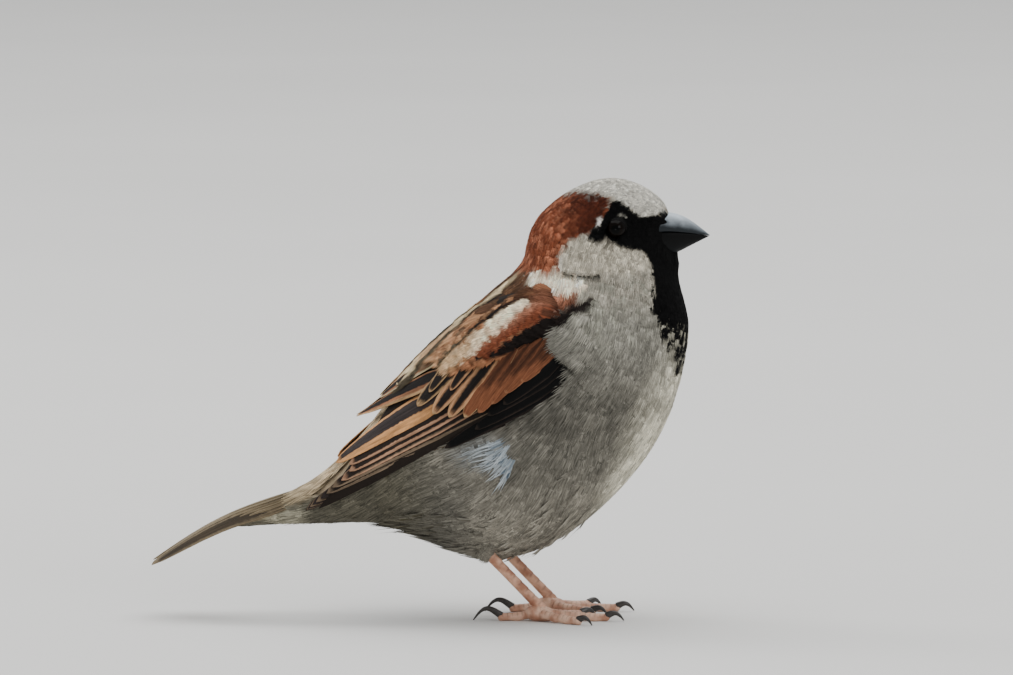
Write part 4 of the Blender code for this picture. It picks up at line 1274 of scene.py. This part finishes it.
tail = {
    # of four sections from root to tip: the top line's (x, z), half width, and how much the sides droop
    "ridge": ((-23.0, 31.4), (-36.0, 27.4), (-49.5, 22.0), (-63.7, 13.1)),
    "half": (3.6, 4.8, 6.0, 6.9),
    "roof": (2.2, 2.6, 2.3, 1.2),
    "pairs": 6,
    "webs": (2.3, 1.5),  # half widths of a feather's inner and outer web
    "middleWeb": 2.0,
}


def makeTail():
    # Twelve closed feathers, the middle pair on top, each outer one a little lower and farther out.
    vanes, t = [], np.linspace(0, 1, 20)
    ridge, half, roof = (splineThrough(np.reshape(tail[key], (4, -1)))(t * 3)
                         for key in ("ridge", "half", "roof"))
    half, roof = half[:, 0], roof[:, 0] * (1 - 0.45 * t)
    for index in range(2 * tail["pairs"]):
        pair, hand = index // 2, 1 - 2 * (index % 2)
        out = (0.09 + 0.14 * pair) * hand
        short = 1.3 * (1 - pair / 5) ** 2
        path = np.stack([ridge[:, 0] + (short + 0.1) * t ** 4, half * out,
                         ridge[:, 1] - roof * out ** 2 - 0.085 * pair - 0.08 + 0.25 * t], -1)
        up = unit(np.stack([0 * t + 0.25, 2 * roof * out / half, 1 + 0 * t], -1))
        inner, outer = tail["webs"]
        outer = outer if pair else tail["middleWeb"]
        upper, lower = (outer, inner) if hand > 0 else (inner, outer)
        points, triangles, coords = vane(path, up, upper, lower, 8.0, 0.0)
        web = blend(plumage["tailInner"], plumage["tail"], np.clip(pair - 3.0, 0, 1))
        vanes.append({"points": points, "triangles": triangles, "coords": coords, "web": web,
                      "rim": plumage["tailEdge"], "fringe": plumage["tailEdge"] * 1.3,
                      "marks": (0.5, 0.5, 0.975)})
    layVanes("tail_feathers", 1, "tail_feathers", ("tail",), vanes, 6)


bill = {
    # (x, z) of the top line, the mouth's edge and the bottom line, from the root to the tip
    "culmen": ((47.0, 93.6), (54.0, 92.7), (58.6, 91.2), (63.6, 87.5)),
    "edge": ((47.0, 87.4), (52.0, 88.4), (57.6, 88.2), (63.5, 87.3)),
    "gonys": ((47.0, 82.4), (54.0, 82.9), (58.4, 84.6), (62.9, 86.9)),
    "half": 4.1,
    "tipHalf": 0.3,
    "nostril": (53.2, 90.6),
    # dark, and the pale of a painted sheen of reflected light up the sides, and the gloss
    "upper": (tint(22, 29, 34), tint(180, 190, 198), 0.3),
    "lower": (tint(5, 6, 7), tint(14, 17, 19), 0.12),
}


def billFinish(name, dark, pale, gloss):
    # horn that is paler up its sides with a painted sheen of reflected light, the sheen fading so that it is
    # darker to the tip, with a fine grain along it
    f = Finish(name, Specular_IOR_Level=gloss)
    along, around, _ = f.parts(f.attribute("leaf", "Vector"))
    stretch = f.node("ShaderNodeMapping", inputs={"Vector": f.place(), "Scale": (300.0, 1400.0, 1400.0)})
    grain = f.noise(1.0, 3.0, at=stretch)
    cloud = f.noise(500.0, 2.0)
    # painted sheen: reflected light painted as the pale colour up the sides, fading towards the tip
    share = f.step(around + (cloud - 0.5) * 0.4, 0.16, 1.0) * f.step(along, 0.45, 0.95, 1.0, 0.35)
    colour = f.shade(f.mix(share, colour4(dark), colour4(pale)), 0.8 + grain * 0.4)
    return f.set(Base_Color=colour, Roughness=0.34 + grain * 0.25, Normal=f.bump(grain, 0.25, 0.00008))


def makeBill():
    # Each half: rings along the bill, y = half * cos(a) ** 0.92, and z from the edge to the outline by
    # sin(a) ** 0.92 above and ** 0.8 below, with the edges turned in to close the mouth line. A groove and a
    # nostril are pressed into the upper half's side.
    rows, columns = 60, 40
    share = 1 - (1 - np.linspace(0, 1, rows)) ** 1.6
    a = np.linspace(0, math.pi, columns)
    ridge, edge, keel = (splineThrough(bill[line])(share * 3) for line in ("culmen", "edge", "gonys"))
    half = bill["tipHalf"] * 0.6 + (bill["half"] - bill["tipHalf"] * 0.6) * (1 - share ** 2.1)
    for end, outline, wide, gap, bulge in (("upper", ridge, 1.0, 0.05, 0.92),
                                           ("lower", keel, 0.93, -0.05, 0.8)):
        reach = outline - edge
        sine = np.sin(a) ** bulge
        x = edge[:, :1] + reach[:, :1] * sine
        y = (half * wide)[:, None] * np.sign(np.cos(a)) * np.abs(np.cos(a)) ** 0.92
        z = edge[:, 1:] + gap + (reach[:, 1:] - gap) * sine
        if end == "upper":
            # nostril: a small pit near the root, and a faint groove that runs on from it
            pitX, pitZ = bill["nostril"]
            pit = np.exp(-((x - pitX) ** 2 / 0.5 + (z - pitZ) ** 2 / 0.16))
            groove = 0.35 * np.exp(-((z - 90.7 + 0.16 * (x - 53)) ** 2 / 0.12)) * np.clip((58 - x) / 5, 0, 1)
            y = y - np.sign(y) * np.minimum(0.75 * pit + 0.3 * groove, np.abs(y) * 0.5)
        outer = np.stack([x, y, z], -1)
        inner = outer.copy()
        inner[..., 1] *= 0.2
        inner[..., 2] = edge[:, 1:] + gap
        rings = np.concatenate([outer, inner[:, 1:-1][:, ::-1]], axis=1)
        height = np.concatenate([np.tile(np.sin(a), (rows, 1)), np.zeros((rows, columns - 2))], axis=1)
        name = f"bill_{end}_horn"
        ringPiece(name, rings, "bill", f"bill_{end}", billFinish(name, *bill[end]),
                  (np.repeat(share, rings.shape[1]), height))
    print("bill made")


eye = {
    "centre": (42.0, 7.15, 89.4),
    "radius": 2.6,
    "opening": 2.2,
    "bare": 2.45,  # no feather reaches nearer
    "pupil": tint(4, 4, 4),
    "iris": tint(18, 13, 10),
    "white": tint(16, 12, 10),
    "lid": (tint(9, 8, 8), tint(22, 21, 20)),
}


def makeEyeball(label, side, centre):
    # a ball whose pole looks outwards; its front bulges a little as the cornea
    theta, phi = roundGrid(0.0, math.pi, 32, 48)
    bulge = 1 + 0.03 * np.exp(-(theta / 0.5) ** 2)
    outwards = np.cos(theta) * side * bulge
    ball = np.stack([np.sin(theta) * np.cos(phi), outwards, np.sin(theta) * np.sin(phi)], -1)
    points, triangles = closedTube(centre + eye["radius"] * ball)
    name = f"eyeball_{label}"
    piece = makeMesh(name, points, outward(points, triangles), "eyes", f"eye_{label}")
    angles = np.append(theta.ravel(), [0, math.pi])
    giveVectors(piece, leaf=np.column_stack([angles, np.zeros((len(points), 2))]))
    f = Finish(name, Roughness=0.04, Specular_IOR_Level=0.07)
    angle, _, _ = f.parts(f.attribute("leaf", "Vector"))
    iris = f.mix(f.step(angle, 0.34, 0.44), colour4(eye["pupil"]), colour4(eye["iris"]))
    colour = f.mix(f.step(angle, 0.66, 0.8), iris, colour4(eye["white"]))
    piece.data.materials.append(f.set(Base_Color=colour))


def makeEyelids(label, side, centre):
    # From the eye's opening a thick rim, then out and down into the plumage, and back under it.
    t, phi = roundGrid(0, 1, 14, 60)
    opening = eye["opening"] * (1 + 0.05 * np.cos(2 * phi))
    reach = opening + 1.15 * t ** 1.2 - 0.16 * np.sin(math.pi * t * 2) * (t < 0.5)
    ballHeight = np.sqrt(np.maximum(eye["radius"] ** 2 - opening ** 2, 0))
    height = ballHeight + 0.02 + 0.16 * np.sin(math.pi * np.clip(t * 1.8, 0, 1)) - 1.5 * t ** 1.6
    lid = np.stack([reach * np.cos(phi), height * side, reach * np.sin(phi)], -1) + centre
    rings = np.concatenate([lid, lid[::-1] - np.array([0, 0.25 * side, 0])], axis=0)
    rows, around = rings.shape[:2]
    last = (rows - 1) * around
    j = np.arange(around)
    k = (j + 1) % around
    joining = np.concatenate([np.stack([last + j, last + k, k], -1), np.stack([last + j, k, j], -1)])
    triangles = np.concatenate([gridTriangles(rows, around, True), joining])
    points = rings.reshape(-1, 3)
    name = f"eyelids_{label}"
    piece = makeMesh(name, points, outward(points, triangles), "head_plumage")
    f = Finish(name, Roughness=0.6, Specular_IOR_Level=0.08)
    grain = f.noise(3000.0, 3.0)
    dark, pale = eye["lid"]
    colour = f.shade(f.mix(grain, colour4(dark), colour4(pale)), 0.9 + grain * 0.2)
    piece.data.materials.append(f.set(Base_Color=colour, Normal=f.bump(grain, 0.5, 0.00008)))


def makeEyes():
    # both eyes with their lids
    for label, side in sides.items():
        centre = mirrored(np.array(eye["centre"]), side)
        makeEyeball(label, side, centre)
        makeEyelids(label, side, centre)
    print("eyes made")


legPaint = {
    # pale and dark
    "shank": (tint(220, 170, 142), tint(164, 110, 86)),
    "toes": (tint(228, 186, 160), tint(178, 126, 102)),
    "claws": (tint(26, 24, 24), tint(70, 64, 60)),
}
toes = {
    # heading in degrees, start from the palm's middle, how far outwards, length, claw's length and arch
    "hind": (180.0, 1.2, 0.0, 8.4, 5.4, 2.0),
    "inner": (-24.0, 1.6, -1.7, 9.6, 2.8, 0.9),
    "middle": (3.0, 1.8, 0.0, 14.2, 3.0, 1.0),
    "outer": (36.0, 1.4, 1.6, 10.2, 2.8, 0.9),
}
legTurn = np.linspace(0, 2 * math.pi, 24, endpoint=False)


def legFinish(name, pale, dark):
    # scaly skin: two tones in patches, a fine grain, and darker seams between the scales
    f = Finish(name, Roughness=0.5, Specular_IOR_Level=0.4)
    grain = f.noise(1800.0, 3.0)
    cloud = f.noise(350.0, 2.0)
    seam, _, _ = f.parts(f.attribute("leaf", "Vector"))
    colour = f.mix(f.step(cloud, 0.35, 0.7), colour4(pale), colour4(dark))
    colour = f.shade(colour, 0.78 + grain * 0.35 - seam * 0.35)
    return f.set(Base_Color=colour, Roughness=0.4 + grain * 0.25, Normal=f.bump(grain, 0.35, 0.00006))


def clawFinish():
    # dark horn with a fine grain
    f = Finish("claw_horn", Roughness=0.3, Specular_IOR_Level=0.5)
    grain = f.noise(1500.0, 3.0)
    dark, pale = legPaint["claws"]
    return f.set(Base_Color=f.mix(grain, colour4(dark), colour4(pale)), Normal=f.bump(grain, 0.3, 0.00005))


def sweep(path, radius, tall=1.0):
    # Rings at right angles to a path, and never under the floor; radius is (rows, around).
    ahead = unit(np.gradient(path, axis=0))
    side = unit(np.cross(np.array([0.0, 0.0, 1.0]), ahead))
    up = np.cross(ahead, side)
    out = side[:, None] * np.cos(legTurn)[None, :, None] + up[:, None] * np.sin(legTurn)[None, :, None] * tall
    rings = path[:, None] + out * radius[..., None]
    rings[..., 2] = np.maximum(rings[..., 2], 0.0)
    return rings


def scales(share, count, depth):
    # saw-tooth steps of overlapping scales, and how close each spot is to a seam
    phase = (share * count) % 1
    seam = np.exp(-((phase - 0.0) / 0.12) ** 2) + np.exp(-((phase - 1.0) / 0.12) ** 2)
    return depth * (phase ** 0.6 - 0.5), seam


def closing(beyond, least):
    # 1 along a stem, and a quarter circle down to the root of least where beyond goes from 0 to 1
    return np.sqrt(np.clip(1 - np.maximum(0, beyond) ** 2, least, 1))


def makeShank(label, ankle, foot):
    # a tube from ankle to foot, a little thicker at its ends, with scales down its front
    share = np.linspace(0, 1, 110)
    path = ankle + (foot - ankle) * (1.07 * share + 0.01)[:, None]  # its end goes into the palm
    step, seam = scales(share, 9, 0.10)
    front = smooth(np.sin(legTurn), -0.3, 0.4)
    waist = leg["shank"] * (0.94 + 0.16 * np.abs(2 * share - 1) ** 3)
    ends = closing((np.abs(share - 0.5) - 0.43) / 0.072, 0.02)
    radius = (waist[:, None] + step[:, None] * front[None] * 0.9) * ends[:, None]
    name = f"shank_scales_{label}"
    ringPiece(name, sweep(path, radius, leg["shankDepth"]), "legs", f"shank_{label}",
              legFinish(name, *legPaint["shank"]), (seam[:, None] * front[None],))


def makePalm(label, foot):
    # an oval pad under the shank, flat on the floor
    reach, wide, high = leg["palm"]
    share = np.linspace(-1, 1, 40)
    path = foot + np.array([1.0, 0, 0]) * (reach * share)[:, None]
    path[:, 2] = high - 0.25 - 0.3 * share
    radius = (wide * np.sqrt(np.maximum(1 - (0.93 * share) ** 2, 0)))[:, None] * (1 + 0 * legTurn)[None]
    bumps = 0.05 * np.sin(share * 22)[:, None] * (np.sin(legTurn) > -0.2)[None]
    name = f"palm_{label}"
    ringPiece(name, sweep(path, radius + bumps, high / wide), "legs", f"foot_{label}",
              legFinish(name, *legPaint["toes"]), ())


def makeToe(label, side, foot, toe, clawHorn):
    # A scaly toe with pads beneath, then its claw: an arc from the toe's end down to a point.
    heading, start, outwardBy, length, clawLength, arch = toes[toe]
    angle = math.radians(heading)
    forward = np.array([math.cos(angle), math.sin(angle) * side, 0.0])
    root = foot * np.array([1.0, 1.0, 0.0]) + np.array([0.0, outwardBy * side, 0.0])
    share = np.linspace(0, 1, 90)
    path = root + forward * (start + length * share - 0.6 * (1 - share))[:, None]
    path[:, 2] = 0.92 + 0.9 * (1 - share) ** 2.5 - 0.07 * share
    step, seam = scales(share, round(length * 0.9), 0.09)
    top = smooth(np.sin(legTurn), -0.1, 0.5)
    pads = 0.12 * np.maximum(np.cos(share * math.pi * 2 * round(length / 3.4)), -0.6)
    shape = 1.08 - 0.16 * share
    ends = closing((share - 0.90) / 0.102, 0.03)
    radius = (shape[:, None] + step[:, None] * top[None] + pads[:, None] * (1 - top)[None]) * ends[:, None]
    name = f"toe_scales_{label}_{toe}"
    ringPiece(name, sweep(path, radius * 0.96), "legs", f"toe_{label}_{toe}",
              legFinish(name, *legPaint["toes"]), (seam[:, None] * top[None],))
    # claw
    share = np.linspace(0, 1, 40)
    path = root + forward * (start + length - 0.9 + (clawLength + 1.05) * share)[:, None]
    path[:, 2] = 1.2 * (1 - share ** 1.5) + 0.18 * share + arch * np.sin(math.pi * share ** 1.2)
    radius = (0.62 * (1 - share ** 1.3) + 0.12)[:, None] * (1 + 0 * legTurn)[None]
    ringPiece(f"claw_horn_{label}_{toe}", sweep(path, radius, 1.15), "claws", f"claw_{label}_{toe}", clawHorn)


def makeLegs():
    # on each side the shank, the palm and four toes with claws
    clawHorn = clawFinish()
    for label, side in sides.items():
        ankle, foot = (mirrored(np.array(leg[place]) + legStep(side), side) for place in ("ankle", "foot"))
        makeShank(label, ankle, foot)
        makePalm(label, foot)
        for toe in toes:
            makeToe(label, side, foot, toe, clawHorn)
    print("legs made")


def makeStage():
    # a pale floor, a soft grey sky, and three lamps
    f = Finish("pale_floor", Roughness=0.8)
    f.set(Base_Color=f.mix(f.noise(4.0, 2.0), colour4(tint(214, 213, 210)), colour4(tint(222, 221, 218))))
    size = 6.0
    corners = [(-size, -size, 0), (size, -size, 0), (size, size, 0), (-size, size, 0)]
    mesh = bpy.data.meshes.new("floor")
    mesh.from_pydata(corners, [], [(0, 1, 2, 3)])
    mesh.materials.append(f.material)
    floor = bpy.data.objects.new("floor", mesh)
    bpy.context.scene.collection.objects.link(floor)
    world = bpy.data.worlds.new("studio")
    world.use_nodes = True
    world.node_tree.nodes["Background"].inputs["Color"].default_value = (0.86, 0.87, 0.88, 1)
    world.node_tree.nodes["Background"].inputs["Strength"].default_value = 0.72
    bpy.context.scene.world = world
    lamps = {
        # place, aimed at the bird, side of the square, watts
        "sky": ((0.10, 0.60, 3.0), 4.0, 122.0),
        "front": ((0.9, -0.8, 0.6), 0.5, 3.4),
        "rear": ((-0.7, 0.5, 0.8), 0.4, 3.0),
    }
    for name, (place, width, watts) in lamps.items():
        lamp = bpy.data.lights.new(name, "AREA")
        lamp.size, lamp.energy = width, watts
        holder = bpy.data.objects.new(name, lamp)
        holder.location = place
        holder.rotation_euler = (Vector((0, 0, 0.06)) - Vector(place)).to_track_quat("-Z", "Y").to_euler()
        bpy.context.scene.collection.objects.link(holder)


def makeCamera():
    # a long lens from the bird's right, five degrees above
    lens = bpy.data.cameras.new("camera")
    lens.lens, lens.sensor_width = 300.0, 36.0
    lens.clip_start, lens.clip_end = 0.05, 30.0
    holder = bpy.data.objects.new("camera", lens)
    aim, away, rise = Vector((0.0173, 0, 0.0640)), 1.925, math.radians(5)
    holder.location = aim + Vector((0, -math.cos(rise), math.sin(rise))) * away
    holder.rotation_euler = (aim - holder.location).to_track_quat("-Z", "Y").to_euler()
    bpy.context.scene.collection.objects.link(holder)
    bpy.context.scene.camera = holder


makeSkin()
makeBodyCoat()
makeWisps()
for sideName, sideSign in sides.items():
    makeThighFeathers(sideName, sideSign)
for sideName, sideSign in sides.items():
    makeFlankFan(sideName, sideSign)
    makeWingBase(sideName, sideSign)
    makeFlightFeathers(sideName, sideSign)
    makeCoverts(sideName, sideSign)
    for covertName, covertSpec in smallCoverts.items():
        makeSmallCoverts(covertName, sideName, sideSign, *covertSpec)
makeTail()
makeBill()
makeEyes()
makeLegs()
makeStage()
makeCamera()
